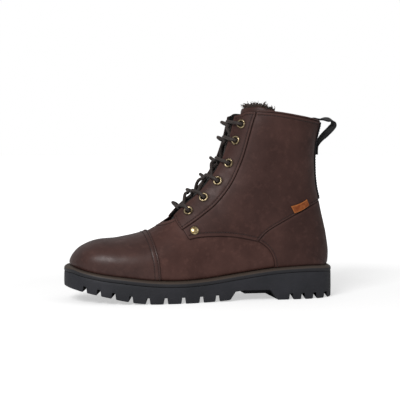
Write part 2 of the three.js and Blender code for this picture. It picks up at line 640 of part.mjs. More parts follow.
const buildTongue = () => tongueSlab(tongueRoot, foldAt(-GAP / 2), 13, 0, TONGUE_THICK);
const buildTongueLining = () => tongueSlab((v) => tongueRoot(v) + 0.9, foldAt(-GAP / 2), 12, TONGUE_THICK + GAP, TONGUE_FLEECE);
const buildTongueTop = () => tongueSlab(foldAt(GAP / 2), arch(213, 5), 3, 0, TONGUE_THICK);
const buildTongueTopLining = () => tongueSlab(foldAt(GAP / 2), arch(217.5, 9), 3, TONGUE_THICK + GAP, TONGUE_FLEECE + 1);

// ---------------------------------------------------------------- eyelets, rivets, lace

// A turned piece on a spot of the upper, from a profile of [radius, height over the last].
function turned(profile, spot, sides) {
  const geometry = new THREE.LatheGeometry(profile.map(([r, h]) => new THREE.Vector2(r, h)), sides);
  geometry.applyQuaternion(new THREE.Quaternion().setFromUnitVectors(new THREE.Vector3(0, 1, 0), spot.normal));
  geometry.translate(spot.point.x, spot.point.y, spot.point.z);
  return toSolid(geometry);
}

function buildEyelet(spot) {
  const [low, high] = [-FACING_LINING - 0.9, OVERLAY_OUT + 2 * GAP];
  const profile = [[EYELET_BORE, low - 0.6], [4.3, low - 0.5], [4.3, low], [EYELET_BARREL, low], [EYELET_BARREL, high],
    [EYELET_FLANGE, high], [4.6, high + 0.6], [EYELET_BORE + 0.5, high + 0.6], [EYELET_BORE, high + 0.1],
    [EYELET_BORE, low - 0.6]];
  return turned(profile, spot, 10);
}

function buildRivet(spot) {
  const [low, high] = [-LEATHER - 1.1, OVERLAY_OUT + 2 * GAP];
  const profile = [[0, low - 0.6], [3.4, low - 0.6], [3.4, low], [1.5, low], [1.5, high], [4.5, high], [4.3, high + 0.7],
    [3.2, high + 1.3], [1.6, high + 1.6], [0, high + 1.7]];
  return turned(profile, spot, 12);
}

const UNDER = -5; // centre of the lace under a facing, out from the vamp's face
const OVER = 5.4; // and over one
const TAIL_DEPTH = -5; // and where its ends are tucked away
const CLIMB = 2 * LACE_RADIUS + 1.4; // how much higher the upper one of two crossing runs is
const SLACK_DEPTH = 6.4; // a run hangs no deeper than this where the tongue stands back further
const EDGE_SHARE = 0.118; // share of the way down the side at which a facing's edge lies
const BAR_LIFT = 3.4; // the lowest run, straight across, lies this far over the tongue
const SAG = 0.15; // a run dips towards the toe over the tongue by this many sections
const RISE_SHARE = 0.7; // over this share of a run it climbs to the level of the next eyelet
const LOW_BEND = [0.35, 1]; // where a run settles on the tongue after it comes out from under a facing
const HIGH_BEND = [0.15, 0.8]; // where it leaves the tongue again to go over the other facing

// The lace's stay in an eyelet, from over the facing to under it. away points along the face, towards the gap.
function throughEyelet(spot, away) {
  const at = (a, h) => spot.point.clone().addScaledVector(away, a).addScaledVector(spot.normal, h);
  return [at(5.6, OVER - 0.2), at(2.9, OVER), at(1, OVER - 0.7), at(0.05, 3.2), at(0, 0.8), at(0, -2),
    at(0.8, UNDER + 0.8), at(2.8, UNDER), at(5.6, UNDER)];
}

function towards(spot, target) {
  const way = target.clone().sub(spot.point);
  return way.addScaledVector(spot.normal, -way.dot(spot.normal)).normalize();
}

// Where a run passes a facing's edge on its way from an eyelet.
const gapEdge = (spot) => ({ u: spot.u, v: Math.sign(spot.v) * EDGE_SHARE });

// Points of a run over the tongue from one spot to another. It lies on the tongue between the heights start and end,
// and climbs in the middle by lift.
function overTongue(from, to, start, lift, end, count) {
  return steps(0, 1, count + 1).slice(1, -1).map((t) => {
    const aside = Math.abs(2 * t - 1);
    const share = 1 - ease(aside, ...(t < 0.5 ? LOW_BEND : HIGH_BEND));
    const u = THREE.MathUtils.lerp(from.u, to.u, ease(t, 0, RISE_SHARE)) - SAG * share;
    const v = THREE.MathUtils.lerp(from.v, to.v, t);
    const rest = -Math.min(tongueDepth(u, v) - LACE_RADIUS - 0.5, SLACK_DEPTH);
    const height = THREE.MathUtils.lerp(t < 0.5 ? start : end, rest, share) + lift * (1 - ease(aside, 0, 0.6));
    return skin(u, Math.abs(v) < 1e-3 ? 1e-3 : v, height);
  });
}

// One half of the lace: from the middle of the bottom bar, in and out of one eyelet after another, to its tip.
function laceHalf(side) {
  const last = EYELETS.length - 1;
  let here = side;
  const points = [];
  for (let level = last; level > 0; level -= 1) {
    const spot = spots[here][level];
    const next = spots[1 - here][level - 1];
    const pass = throughEyelet(spot, towards(spot, spots[1 - here][level].point));
    points.push(...pass);
    const lead = gapEdge(spot);
    const land = gapEdge(next);
    const lift = (here === 0) === (level % 2 === 0) ? 0 : CLIMB;
    points.push(...overTongue(lead, land, UNDER, lift, OVER, 7));
    here = 1 - here;
  }
  const top = spots[here][0];
  points.push(...throughEyelet(top, towards(top, spots[1 - here][0].point)).slice(0, 6));
  return { points, here };
}

// The end of the lace: it turns back inside the top eyelet and lies down the channel behind the eyelets.
function laceTail(side) {
  const row = spots[side];
  const sign = side === 0 ? -1 : 1;
  const [top, next, third] = row;
  const at = (u, v, out) => skin(u, sign * v, out);
  const back = (spot) => Math.abs(spot.v) + 0.075;
  return [
    at(top.u, Math.abs(top.v) + 0.012, TAIL_DEPTH),
    at(top.u, Math.abs(top.v) + 0.055, TAIL_DEPTH),
    at(top.u - 0.35, back(top), TAIL_DEPTH),
    at(THREE.MathUtils.lerp(top.u, next.u, 0.6), back(top) + 0.003, TAIL_DEPTH),
    at(next.u, back(next), TAIL_DEPTH),
    at(THREE.MathUtils.lerp(next.u, third.u, 0.5), back(next) + 0.003, TAIL_DEPTH),
    at(third.u + 0.1, back(third), TAIL_DEPTH + 0.1),
  ];
}

function laceSolid(points, radius, count) {
  const path = new THREE.CatmullRomCurve3(points, false, "centripetal");
  const sides = 7;
  const shape = new THREE.Shape(steps(0, 1, sides).slice(0, -1).map((t) =>
    new THREE.Vector2(radius * Math.cos(2 * Math.PI * t), radius * Math.sin(2 * Math.PI * t))));
  return toSolid(new THREE.ExtrudeGeometry(shape, { steps: count, extrudePath: path, bevelEnabled: false }));
}

const halves = [laceHalf(0), laceHalf(1)];
const tails = halves.map(({ here }) => laceTail(here));
const [lowLeft, lowRight] = spots.map((row) => gapEdge(row[5]));
const bar = overTongue(lowLeft, lowRight, OVER, BAR_LIFT, OVER, 7);
const laceRoute = [
  ...reversed([...halves[0].points, ...tails[0]]),
  ...bar,
  ...halves[1].points,
  ...tails[1],
];

const AGLET_LENGTH = 20;

function buildAglet(tail) {
  const end = tail.at(-1);
  const way = end.clone().sub(tail.at(-2)).normalize();
  const geometry = new THREE.CylinderGeometry(LACE_RADIUS - 0.2, LACE_RADIUS - 0.5, AGLET_LENGTH, 10);
  geometry.applyQuaternion(new THREE.Quaternion().setFromUnitVectors(new THREE.Vector3(0, -1, 0), way));
  const centre = end.clone().addScaledVector(way, AGLET_LENGTH / 2 + GAP);
  geometry.translate(centre.x, centre.y, centre.z);
  return toSolid(geometry);
}

// ---------------------------------------------------------------- backstay, pull loop, side tag

function buildBackstay() {
  const outline = [[100, 107.9], [160, 109.6], [160, 192.5], [100, 200]];
  return shell(OVERLAY_OUT + GAP + BACKSTAY_THICK, OVERLAY_OUT + GAP)
    .intersect(prism(outline, -BACKSTAY_HALF, BACKSTAY_HALF));
}

// A strap that runs through points of the middle plane, LOOP_WIDTH wide.
function strap(points, count) {
  const spline = new THREE.SplineCurve(points.map(([x, z]) => new THREE.Vector2(x, z)));
  const sideAt = (t, move) => {
    const p = spline.getPoint(t);
    const d = spline.getTangent(clamp(t, 0.001, 0.999));
    return [p.x - d.y * move, p.y + d.x * move];
  };
  const ts = steps(0, 1, count);
  const rim = [...ts.map((t) => sideAt(t, LOOP_THICK / 2)), ...reversed(ts).map((t) => sideAt(t, -LOOP_THICK / 2))];
  return prism(rim, -LOOP_WIDTH / 2, LOOP_WIDTH / 2);
}

const LOOP_FOOT = [[133.1, 159], [133.1, 164], [133.7, 168.6]];
const LOOP_BOW = [[135.5, 171.4], [139.6, 176.6], [145.8, 183], [151.6, 188.8], [154.4, 193], [153.9, 196.6],
  [150.4, 198.6], [145.4, 198.7], [141.8, 198.6]];
const LOOP_HEAD = [[139, 198.6], [134, 198.9], [128.4, 199.8], [124.2, 197.9], [122, 191], [121, 183]];

function buildTag() {
  const corners = TAG.map(([x, z]) => locate(x, z, 0));
  const at = (a, b, out) => {
    const low = new THREE.Vector2(corners[0].u, corners[0].v).lerp(new THREE.Vector2(corners[1].u, corners[1].v), a);
    const high = new THREE.Vector2(corners[3].u, corners[3].v).lerp(new THREE.Vector2(corners[2].u, corners[2].v), a);
    const p = low.lerp(high, b);
    return skin(p.x, p.y, out);
  };
  const grid = steps(0, 1, 4).flatMap((a) => steps(0, 1, 2).map((b) => [a, b]));
  const face = OVERLAY_OUT + 0.5;
  return between(grid.map(([a, b]) => at(a, b, face + 1.2)), grid.map(([a, b]) => at(a, b, face)), gridFaces(5, 3));
}

// ---------------------------------------------------------------- assembly

const finish = {
  leather: { color: 0x4a3430, roughness: 0.5, metalness: 0 },
  rubber: { color: 0x2c2c30, roughness: 0.75, metalness: 0 },
  welt: { color: 0x4a443d, roughness: 0.7, metalness: 0 },
  fleece: { color: 0x4b3a30, roughness: 1, metalness: 0 },
  brass: { color: 0xb39a5e, roughness: 0.3, metalness: 1 },
  steel: { color: 0x9a9a9a, roughness: 0.4, metalness: 1 },
  board: { color: 0xb59a74, roughness: 0.9, metalness: 0 },
  cork: { color: 0x9c7a52, roughness: 0.95, metalness: 0 },
  stiffener: { color: 0xd8d2c4, roughness: 0.8, metalness: 0 },
  textile: { color: 0x1a1817, roughness: 0.95, metalness: 0 },
  lace: { color: 0x2b2725, roughness: 0.7, metalness: 0 },
  aglet: { color: 0x161616, roughness: 0.3, metalness: 0 },
  webbing: { color: 0x121212, roughness: 0.85, metalness: 0 },
  tag: { color: 0x8f4f22, roughness: 0.6, metalness: 0 },
};

const boot = new THREE.Group();

function add(name, look, solid) {
  const mesh = new THREE.Mesh(toGeometry(solid), new THREE.MeshStandardMaterial(finish[look]));
  mesh.name = name;
  boot.add(mesh);
}

const sides = ["lateral", "medial"];

add("outsole", "rubber", buildOutsole());
add("welt", "welt", buildWelt());
add("midsole_filler", "cork", buildFiller());
add("shank", "steel", buildShank(0));
add("insole_board", "board", buildInsoleBoard());
add("footbed", "fleece", buildFootbed());
add("vamp", "leather", buildVamp());
add("toe_cap", "leather", buildToeCap());
add("toe_puff", "stiffener", buildToePuff());
add("heel_panel", "leather", buildHeelPanel());
add("heel_counter", "stiffener", buildHeelCounter());
add("collar_binding", "leather", buildCollarBinding());
add("vamp_lining", "fleece", buildVampLining());
add("quarter_lining", "fleece", buildQuarterLining());
add("tongue", "textile", buildTongue());
add("tongue_lining", "fleece", buildTongueLining());
add("tongue_top", "leather", buildTongueTop());
add("tongue_top_lining", "fleece", buildTongueTopLining());
sides.forEach((name, side) => {
  add(`quarter_${name}`, "leather", buildQuarter(side));
  add(`facing_${name}`, "leather", buildFacing(side));
  add(`facing_lining_${name}`, "textile", buildFacingLining(side));
  add(`rivet_${name}`, "brass", buildRivet(rivetSpots[side]));
  spots[side].forEach((spot, i) => add(`eyelet_${name}_${i + 1}`, "brass", buildEyelet(spot)));
});
add("lace", "lace", laceSolid(laceRoute, LACE_RADIUS, 165));
tails.forEach((tail, i) => add(`aglet_${i + 1}`, "aglet", buildAglet(tail)));
add("backstay", "webbing", buildBackstay());
add("loop_foot", "webbing", strap(LOOP_FOOT, 5));
add("loop_head", "webbing", strap(LOOP_HEAD, 8));
add("pull_loop", "webbing", strap(LOOP_BOW, 16));
add("side_tag", "tag", buildTag());

// The row's origin is under the middle of the whole, on the ground.
const extent = new THREE.Box3().setFromObject(boot);
boot.position.set(-(extent.min.x + extent.max.x) / 2, -(extent.min.y + extent.max.y) / 2, -extent.min.z);
boot.updateMatrixWorld(true);

export default boot;
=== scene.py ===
"""Looks of a left lace-up winter boot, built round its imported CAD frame.

Shapes are worked out in millimetres in the boot's design frame (toe towards -X, outer side towards -Y) and
put into metres in the row frame when a piece is made.
"""
import json
import math

import bpy
import numpy as np
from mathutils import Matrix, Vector, noise


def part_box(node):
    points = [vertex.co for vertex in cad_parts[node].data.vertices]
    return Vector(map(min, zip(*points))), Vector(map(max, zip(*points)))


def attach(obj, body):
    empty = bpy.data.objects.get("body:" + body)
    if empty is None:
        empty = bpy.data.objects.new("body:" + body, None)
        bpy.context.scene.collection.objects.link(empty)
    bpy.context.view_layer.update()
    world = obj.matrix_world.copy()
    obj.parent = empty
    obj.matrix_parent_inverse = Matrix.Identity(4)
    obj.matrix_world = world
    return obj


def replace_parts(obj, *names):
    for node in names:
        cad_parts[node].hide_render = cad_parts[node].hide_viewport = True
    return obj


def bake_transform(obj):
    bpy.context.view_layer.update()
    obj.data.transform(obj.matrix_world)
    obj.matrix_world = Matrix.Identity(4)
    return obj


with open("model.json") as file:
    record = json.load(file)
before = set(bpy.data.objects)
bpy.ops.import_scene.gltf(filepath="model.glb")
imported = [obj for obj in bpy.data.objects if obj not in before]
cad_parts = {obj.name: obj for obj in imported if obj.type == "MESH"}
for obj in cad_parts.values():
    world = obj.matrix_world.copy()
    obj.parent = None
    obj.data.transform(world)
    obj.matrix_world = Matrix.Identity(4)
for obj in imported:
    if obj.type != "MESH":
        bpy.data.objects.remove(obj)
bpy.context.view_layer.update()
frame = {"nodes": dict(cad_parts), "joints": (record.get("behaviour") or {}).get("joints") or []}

MM = 0.001
SHANK_START = 2.0
SHIFT = np.array([
    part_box("shank")[0].x - SHANK_START * MM,
    (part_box("pull_loop")[0].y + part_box("pull_loop")[1].y) / 2,
    0.0,
])

JOINTS = {joint["name"]: joint for joint in frame["joints"]}


def joint_line(name):
    """A joint's place and direction in the frame."""
    return Vector(JOINTS[name]["pos_m"]), Vector(JOINTS[name]["axis"])


# ---------------------------------------------------------------- dimensions, as in the CAD part

GAP = 0.3
LEATHER = 1.5
FLEECE = 4.7
LINING_OUT = -LEATHER - GAP
LINING_IN = LINING_OUT - FLEECE
OVERLAY_OUT = GAP + LEATHER
FACING_LINING = 1.0
SKIRT = 1.5
WELT_SIDE, WELT_TOE, WELT_HEEL = 6.2, 8.0, 5.6
WELT_HEIGHT, WELT_UNDER, WELT_FLAT, WELT_DROP = 6.0, 3.0, 3.8, 0.3
FOOTBED_HEIGHT = 5.0
THROAT_HALF = 17.0
EYELET_BORE, EYELET_BARREL, EYELET_FLANGE = 2.9, 3.4, 5.1
RIVET_HOLE, RIVET_POST, RIVET_CAP = 1.9, 1.5, 4.35
LACE_RADIUS = 1.9
LOOP_WIDTH, LOOP_THICK = 18.0, 1.8
BACKSTAY_HALF, BACKSTAY_THICK = 12.0, 1.4

# The last's sections: front or top x and z, back or bottom x and z, half widths outer and inner, half widths
# at the sole outer and inner, share where it is widest, roundness of the top, sideways shift.
LAST = np.array([
    [-142.6, 37.4, -142.6, 37.4, 0, 0, 0, 0, 0.3, 2.2, 4],
    [-142.2, 44, -140.8, 36.6, 14, 14, 13, 13, 0.3, 2.2, 4],
    [-137, 52.2, -136, 35, 26, 25.5, 24.5, 24, 0.3, 2.3, 4],
    [-128.5, 58.8, -127.5, 32.9, 35.5, 35, 33.5, 33, 0.3, 2.4, 3],
    [-113.5, 64.4, -113, 30.2, 43, 41, 41.5, 39.5, 0.28, 2.35, 2.5],
    [-90, 66.8, -90, 27.2, 48, 44.5, 46.5, 43, 0.26, 2.3, 2],
    [-64, 72.9, -62, 23.9, 49.5, 46, 48, 44.5, 0.24, 2.2, 1],
    [-43, 85, -31, 22.5, 47.6, 42.2, 46.2, 40.8, 0.2, 2.15, 0],
    [-37, 91.2, 0, 24, 43.4, 38.2, 41.6, 35.2, 0.22, 2.25, 0],
    [-32.2, 97.4, 36, 28.5, 40.6, 37.2, 37.2, 31.8, 0.28, 2.35, 0],
    [-27.4, 103, 76, 33.3, 39, 36.7, 34.2, 31.8, 0.34, 2.45, 0],
    [-22.4, 108.2, 112, 35.1, 38.2, 36.7, 33.2, 32.7, 0.38, 2.5, 0],
    [-16.8, 113.4, 133, 34.5, 37.8, 36.7, 26.2, 26.7, 0.4, 2.5, 0],
    [-11.2, 118.6, 141.4, 34.2, 37.6, 36.7, 15.5, 16, 0.42, 2.5, 0],
    [-6.1, 123.5, 143.9, 35.4, 37.6, 36.9, 0, 0, 0.43, 2.5, 0],
    [-1, 128.7, 145.2, 49, 37.6, 37, 0, 0, 0.44, 2.5, 0],
    [5, 136.2, 143, 66, 37.6, 37.2, 0, 0, 0.45, 2.45, 0],
    [12, 146.2, 139.2, 84, 37.6, 37.5, 0, 0, 0.46, 2.4, 0],
    [18, 156.4, 134.8, 103, 38, 37.8, 0, 0, 0.47, 2.35, 0],
    [23, 168, 130.2, 123, 38.7, 38.5, 0, 0, 0.48, 2.3, 0],
    [27.3, 181.6, 128.2, 145, 39.7, 39.5, 0, 0, 0.49, 2.2, 0],
    [30.5, 194.2, 128.8, 170, 40.7, 40.5, 0, 0, 0.5, 2.15, 0],
    [33, 205.8, 134, 193, 41.5, 41.5, 0, 0, 0.5, 2.1, 0],
    [35.5, 222, 139.5, 216, 42, 42, 0, 0, 0.5, 2.1, 0],
]).T
FIRST_CLOSED = 14
LAST_END = LAST.shape[1] - 1
BACK_ROUND = 2.2

# Seams, seen from the side as x and z.
CAP_SEAM = [[-60.5, 90], [-59, 74], [-57.5, 66], [-55.2, 55], [-53, 42], [-51, 15]]
COLLAR = [[10, 196], [38, 202], [46, 205.4], [56, 205.4], [77, 204], [105, 199.8], [136, 194.8], [160, 191.4]]
FACING_SEAM = [[56.5, 225], [55.7, 205], [52.2, 192.6], [44.3, 163], [38.4, 146], [30, 128.2], [20, 113.8],
               [9.7, 102.6], [-1.7, 93.6], [-13.1, 85.4], [-25.5, 77.4]]
SEAM_TOP = [55.8, 205.4]
FACING_TOE = [[-33.5, 97], [-31.9, 89.5], [-30.2, 83.5], [-25.5, 76.2], [-19.5, 67]]
QUARTER_HEM = [[-19.5, 67], [-8.8, 69.4], [7.8, 70.4], [22, 70.2], [38, 68.4], [57, 64.4]]
HEEL_SEAM = [[57, 64.4], [68, 75.4], [88.6, 87.5], [108, 97.5], [120, 103], [133.7, 107.6], [160, 110]]
VAMP_END = [[57, 64.4], [65.5, 58.5], [71.4, 51.5], [75.5, 41], [77, 25], [77, 10]]
THROAT = [[-50, 83.4], [-43, 85.4], [-36, 88.2], [-30.5, 90.6], [-20, 86]]
EYELETS = [[41.5, 192.2], [35.7, 174.3], [27.8, 149.3], [15.6, 129.9], [-0.1, 111.9], [-17.2, 97.2]]
RIVET = [-13, 76.6]
TAG = [[97.9, 94.2], [115.1, 102.8], [112, 109.6], [93.4, 102.4]]

TREAD = [[-160, 19], [-150, 16.8], [-132, 12.6], [-108, 7.6], [-94, 4.4], [-80, 1.9], [-66, 0.4], [-56, 0],
         [-12, 0], [10, 0.7], [25, 1.6], [31, 10.4], [42, 11.6], [70.5, 11.2], [80, 0], [138, 0], [160, 1.6]]
GROOVES = [-134, -118.5, -102.5, -84, -65.7, -46.6, -27.5, -8, 9.5, 92.5, 106, 119.5, 132.5]
GROOVE_DEPTH = 6.5
GROOVE_LEAN = 0.19

# ---------------------------------------------------------------- the last's surface


def catmull(values, u):
    """Catmull-Rom value at u through numbers that stand at 0, 1, 2 and so on."""
    last = len(values) - 1
    i = np.clip(np.floor(u).astype(int), 0, last - 1)
    t = u - i
    a, b, c, d = (values[np.clip(i + k, 0, last)] for k in (-1, 0, 1, 2))
    return b + 0.5 * t * (c - a + t * (2 * a - 5 * b + 4 * c - d + t * (3 * (b - c) + d - a)))


def last_point(u, v):
    """Points of the last. u picks the section, v runs from -1, outer bottom, over the top to 1, inner."""
    u, v = np.broadcast_arrays(np.asarray(u, float), np.asarray(v, float))
    outer = v < 0
    fx, fz, bx, bz, wide_out, wide_in, sole_out, sole_in, at, high_round, mid = (catmull(c, u) for c in LAST)
    wide = np.maximum(np.where(outer, wide_out, wide_in), 1e-6)
    sole = np.where(u >= FIRST_CLOSED, 0, np.clip(np.where(outer, sole_out, sole_in), 0, wide))
    share = (1 + np.cos(np.pi * v)) / 2
    up = np.clip((share - at) / (1 - at), 0, 1)
    down = np.clip((at - share) / at, 0, 1)
    closing = 1 - (sole / wide) ** BACK_ROUND
    above = (1 - up ** high_round) ** (1 / high_round)
    below = np.maximum(0, 1 - closing * down ** BACK_ROUND) ** (1 / BACK_ROUND)
    half = wide * np.where(share >= at, above, below)
    return np.stack([bx + (fx - bx) * share, mid + np.where(outer, -half, half), bz + (fz - bz) * share], -1)


def unit(vectors):
    return vectors / np.maximum(np.linalg.norm(vectors, axis=-1, keepdims=True), 1e-12)


def last_normal(u, v):
    """The last's outward direction."""
    e = 0.02
    u, v = np.broadcast_arrays(np.asarray(u, float), np.asarray(v, float))
    along_u = last_point(np.minimum(u + e, LAST_END), v) - last_point(np.maximum(u - e, 0), v)
    return unit(np.cross(along_u, last_point(u, v + e) - last_point(u, v - e)))


def skin(u, v, out):
    """Points at a distance out from the last."""
    return last_point(u, v) + last_normal(u, v) * np.asarray(out, float)[..., None]


def locate(targets, side):
    """The u and v of the points that stand at x and z in the side view, on one side: -1 outer, 1 inner."""
    targets = np.atleast_2d(np.asarray(targets, float))
    grid_v, grid_u = grid(np.linspace(0.02, 0.98, 49), np.linspace(0, LAST_END, 93))
    known = last_point(grid_u, side * grid_v)[:, [0, 2]]
    best = ((targets[:, None] - known[None]) ** 2).sum(-1).argmin(1)
    u, v = grid_u[best], grid_v[best]
    step = np.array([0.25, 0.02])
    for _ in range(60):
        moves = [(a * step[0], b * step[1]) for a in (-1, 0, 1) for b in (-1, 0, 1)]
        tries = np.array([[np.clip(u + a, 0, LAST_END), np.clip(v + b, 0.005, 0.995)] for a, b in moves])
        miss = ((last_point(tries[:, 0], side * tries[:, 1])[..., [0, 2]] - targets) ** 2).sum(-1)
        pick = miss.argmin(0)
        still = pick == 4
        u, v = tries[pick, 0, np.arange(len(u))], tries[pick, 1, np.arange(len(u))]
        if still.all():
            step = step * 0.5
    return u, side * v


def grid(first, second):
    """Every pair of values from two lists, as two long arrays."""
    return (a.ravel() for a in np.meshgrid(first, second, indexing="ij"))


def ease(x, low, high):
    """0 up to low, 1 from high on, and a smooth step between."""
    t = np.clip((np.asarray(x, float) - low) / (high - low), 0, 1)
    return t * t * (3 - 2 * t)


def lerp(a, b, t):
    return a + (b - a) * t


def curve(points, count=60, move=0.0):
    """A smooth curve through points of the side view, moved sideways by a distance."""
    p = np.asarray(points, float)
    t = np.linspace(0, len(p) - 1, count + 1)
    line = np.stack([catmull(p[:, k], t) for k in (0, 1)], -1)
    way = unit(np.gradient(line, axis=0))
    return line + np.stack([-way[:, 1], way[:, 0]], -1) * move


# ---------------------------------------------------------------- triangle sheets

# A sheet is an array of vertex rows and an array of faces. A row holds a point, its normal, its u and v, and
# the leather's unevenness there.
POINT, NORMAL, WAVE = slice(0, 3), slice(3, 6), 8


def grid_faces(rows, columns):
    a = (np.arange(rows - 1)[:, None] * columns + np.arange(columns - 1)).ravel()
    b = a + columns
    return np.concatenate([np.stack([a, b, a + 1], 1), np.stack([a + 1, b, b + 1], 1)])


def ring_quads(rings, sides, closed=False):
    """Four-sided faces between rings of vertices that follow one another, with the ring and side of each."""
    ring, side = grid(np.arange(rings if closed else rings - 1), np.arange(sides))
    after, following = (side + 1) % sides, (ring + 1) % rings
    corners = [ring * sides + side, ring * sides + after, following * sides + after, following * sides + side]
    return np.stack(corners, 1), (ring, side)


def weld(points, faces, size=1e-3):
    """Faces with the vertices that stand at one point made one, and the index of each kept vertex."""
    cells = np.round(points / size).astype(np.int64)
    _, first, same = np.unique(cells, axis=0, return_index=True, return_inverse=True)
    faces = same.ravel()[faces]
    whole = (faces[:, 0] != faces[:, 1]) & (faces[:, 1] != faces[:, 2]) & (faces[:, 0] != faces[:, 2])
    return first, faces[whole]


def vertex_normals(points, faces):
    a, b, c = (points[faces[:, k]] for k in range(3))
    face = np.cross(b - a, c - a)
    total = np.zeros_like(points)
    for k in range(3):
        np.add.at(total, faces[:, k], face)
    return unit(total)


def used_only(rows, faces):
    keep, index = np.unique(faces, return_inverse=True)
    return rows[keep], index.reshape(faces.shape)


def crossings(rows, faces, values, level):
    """Where a level crosses triangles: which rows lie above it, and which faces it crosses.

    The crossed faces are turned so that the corner alone on its side is first, with whether that corner lies
    above. Then come the new rows, and which of them lie on each crossed face's two cut edges."""
    s = values - level
    s = np.where(np.abs(s) < 1e-5, 1e-5, s)
    above = s > 0
    count = above[faces].sum(1)
    crossed = (count == 1) | (count == 2)
    mixed = faces[crossed]
    side = above[mixed]
    lone_above = side.sum(1) == 1
    first = np.where(lone_above[:, None], side, ~side).argmax(1)
    mixed = np.take_along_axis(mixed, (first[:, None] + np.arange(3)) % 3, 1)
    a, b, c = mixed.T
    pairs = np.sort(np.stack([np.r_[a, a], np.r_[b, c]], 1), 1)
    edges, which = np.unique(pairs, axis=0, return_inverse=True)
    start, end = edges.T
    t = (s[start] / (s[start] - s[end]))[:, None]
    spots = rows[start] * (1 - t) + rows[end] * t
    which = which.ravel()
    return above, crossed, mixed, lone_above, spots, which[:len(a)], which[len(a):]


def split(rows, faces, values, level):
    """Cuts every triangle that the level crosses. Returns rows, faces, values and which faces lie above."""
    above, crossed, mixed, lone_above, spots, ab, ac = crossings(rows, faces, values, level)
    whole = faces[~crossed]
    a, b, c = mixed.T
    ab, ac = ab + len(rows), ac + len(rows)
    pieces = [np.stack(corners, 1) for corners in ((a, ab, ac), (ab, b, c), (ab, c, ac))]
    up = np.concatenate([above[whole].all(1), lone_above, ~lone_above, ~lone_above])
    values = np.concatenate([values, np.full(len(spots), float(level))])
    return np.concatenate([rows, spots]), np.concatenate([whole] + pieces), values, up


def score(rows, faces, values_of, levels):
    """Puts edges on a sheet along the lines where a function of its rows meets each level."""
    for level in levels:
        rows, faces, _, _ = split(rows, faces, values_of(rows), level)
    return rows, faces


def clip(rows, faces, values):
    """Keeps what lies where the values are above zero."""
    near = (values[faces] > 0).any(1)
    rows, faces, values, up = split(rows, faces[near], values, 0)
    return used_only(rows, faces[up])


def line_distance(points, line):
    """Distance of side-view points to a line of straight pieces."""
    best = np.full(len(points), np.inf)
    for (ax, az), (bx, bz) in zip(line[:-1], line[1:]):
        dx, dz = bx - ax, bz - az
        px, pz = points[:, 0] - ax, points[:, 1] - az
        t = np.clip((px * dx + pz * dz) / max(dx * dx + dz * dz, 1e-12), 0, 1)
        best = np.minimum(best, (px - t * dx) ** 2 + (pz - t * dz) ** 2)
    return np.sqrt(best)


def outline_distance(points, outline):
    """Signed distance of side-view points to a closed outline, positive inside."""
    ring = np.concatenate([outline, outline[:1]]).astype(float)
    inside = np.zeros(len(points), bool)
    for (ax, az), (bx, bz) in zip(ring[:-1], ring[1:]):
        if az != bz:
            crosses = (az > points[:, 1]) != (bz > points[:, 1])
            inside ^= crosses & (points[:, 0] - ax < (bx - ax) * (points[:, 1] - az) / (bz - az))
    return np.where(inside, 1, -1) * line_distance(points, ring)


def base_sheet(u_steps, v_steps):
    """The last's whole surface as a triangle sheet."""
    u, v = grid(u_steps, v_steps)
    points = last_point(u, v)
    first, faces = weld(points, grid_faces(len(u_steps), len(v_steps)))
    points, u, v = points[first], u[first], v[first]
    return np.column_stack([points, vertex_normals(points, faces), u, v]), faces


def even_steps(step):
    """Section numbers that stand about a step apart on the boot's longest line."""
    u = np.linspace(0, LAST_END, 2000)
    spread = np.zeros(len(u) - 1)
    for v in (0.0, -0.35, -0.6, -1.0):
        spread = np.maximum(spread, np.linalg.norm(np.diff(last_point(u, v), axis=0), axis=1))
    length = np.r_[0, np.cumsum(spread)]
    return np.interp(np.linspace(0, length[-1], int(length[-1] / step)), length, u)


FINE = 1.7
BASE_ROWS, BASE_FACES = base_sheet(even_steps(FINE), np.linspace(-1, 1, 181))


# ---------------------------------------------------------------- making Blender pieces

def make(name, points, faces, material, uv=None, marks=None, smooth=35.0, body="boot"):
    """A mesh piece from points in design millimetres. faces is one array, or a list of arrays."""
    mesh = bpy.data.meshes.new(name)
    groups = faces if isinstance(faces, list) else [faces]
    corners = np.concatenate([f.ravel() for f in groups]).astype(np.int32)
    sizes = np.concatenate([np.full(len(f), f.shape[1]) for f in groups]).astype(np.int32)
    mesh.vertices.add(len(points))
    mesh.vertices.foreach_set("co", (np.asarray(points) * MM + SHIFT).astype(np.float32).ravel())
    mesh.loops.add(len(corners))
    mesh.loops.foreach_set("vertex_index", corners)
    mesh.polygons.add(len(sizes))
    mesh.polygons.foreach_set("loop_start", np.r_[0, np.cumsum(sizes)[:-1]].astype(np.int32))
    mesh.update(calc_edges=True)
    if uv is not None:
        layer = mesh.uv_layers.new(name="UVMap")
        layer.data.foreach_set("uv", np.asarray(uv, np.float32).ravel())
    for mark, values in (marks or {}).items():
        mesh.attributes.new(mark, "FLOAT", "POINT").data.foreach_set("value", np.asarray(values, np.float32))
    mesh.validate()
    mesh.shade_smooth()
    if smooth:
        mesh.set_sharp_from_angle(angle=math.radians(smooth))
    mesh.materials.append(material)
    piece = linked(bpy.data.objects.new(name, mesh))
    if body:
        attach(piece, body)
    return piece


def rim_edges(faces, count):
    """The directed edges that only one face of a sheet has."""
    directed = np.concatenate([faces[:, [0, 1]], faces[:, [1, 2]], faces[:, [2, 0]]])
    forward = directed[:, 0] * count + directed[:, 1]
    return directed[~np.isin(forward, directed[:, 1] * count + directed[:, 0])]


def closed_faces(faces, count):
    """Faces of a solid between a sheet and its copy, whose vertices come after: both sheets and the rim."""
    a, b = rim_edges(faces, count).T
    rim = [np.stack([b, a, a + count], 1), np.stack([b, a + count, b + count], 1)]
    return np.concatenate([faces, faces[:, ::-1] + count] + rim)


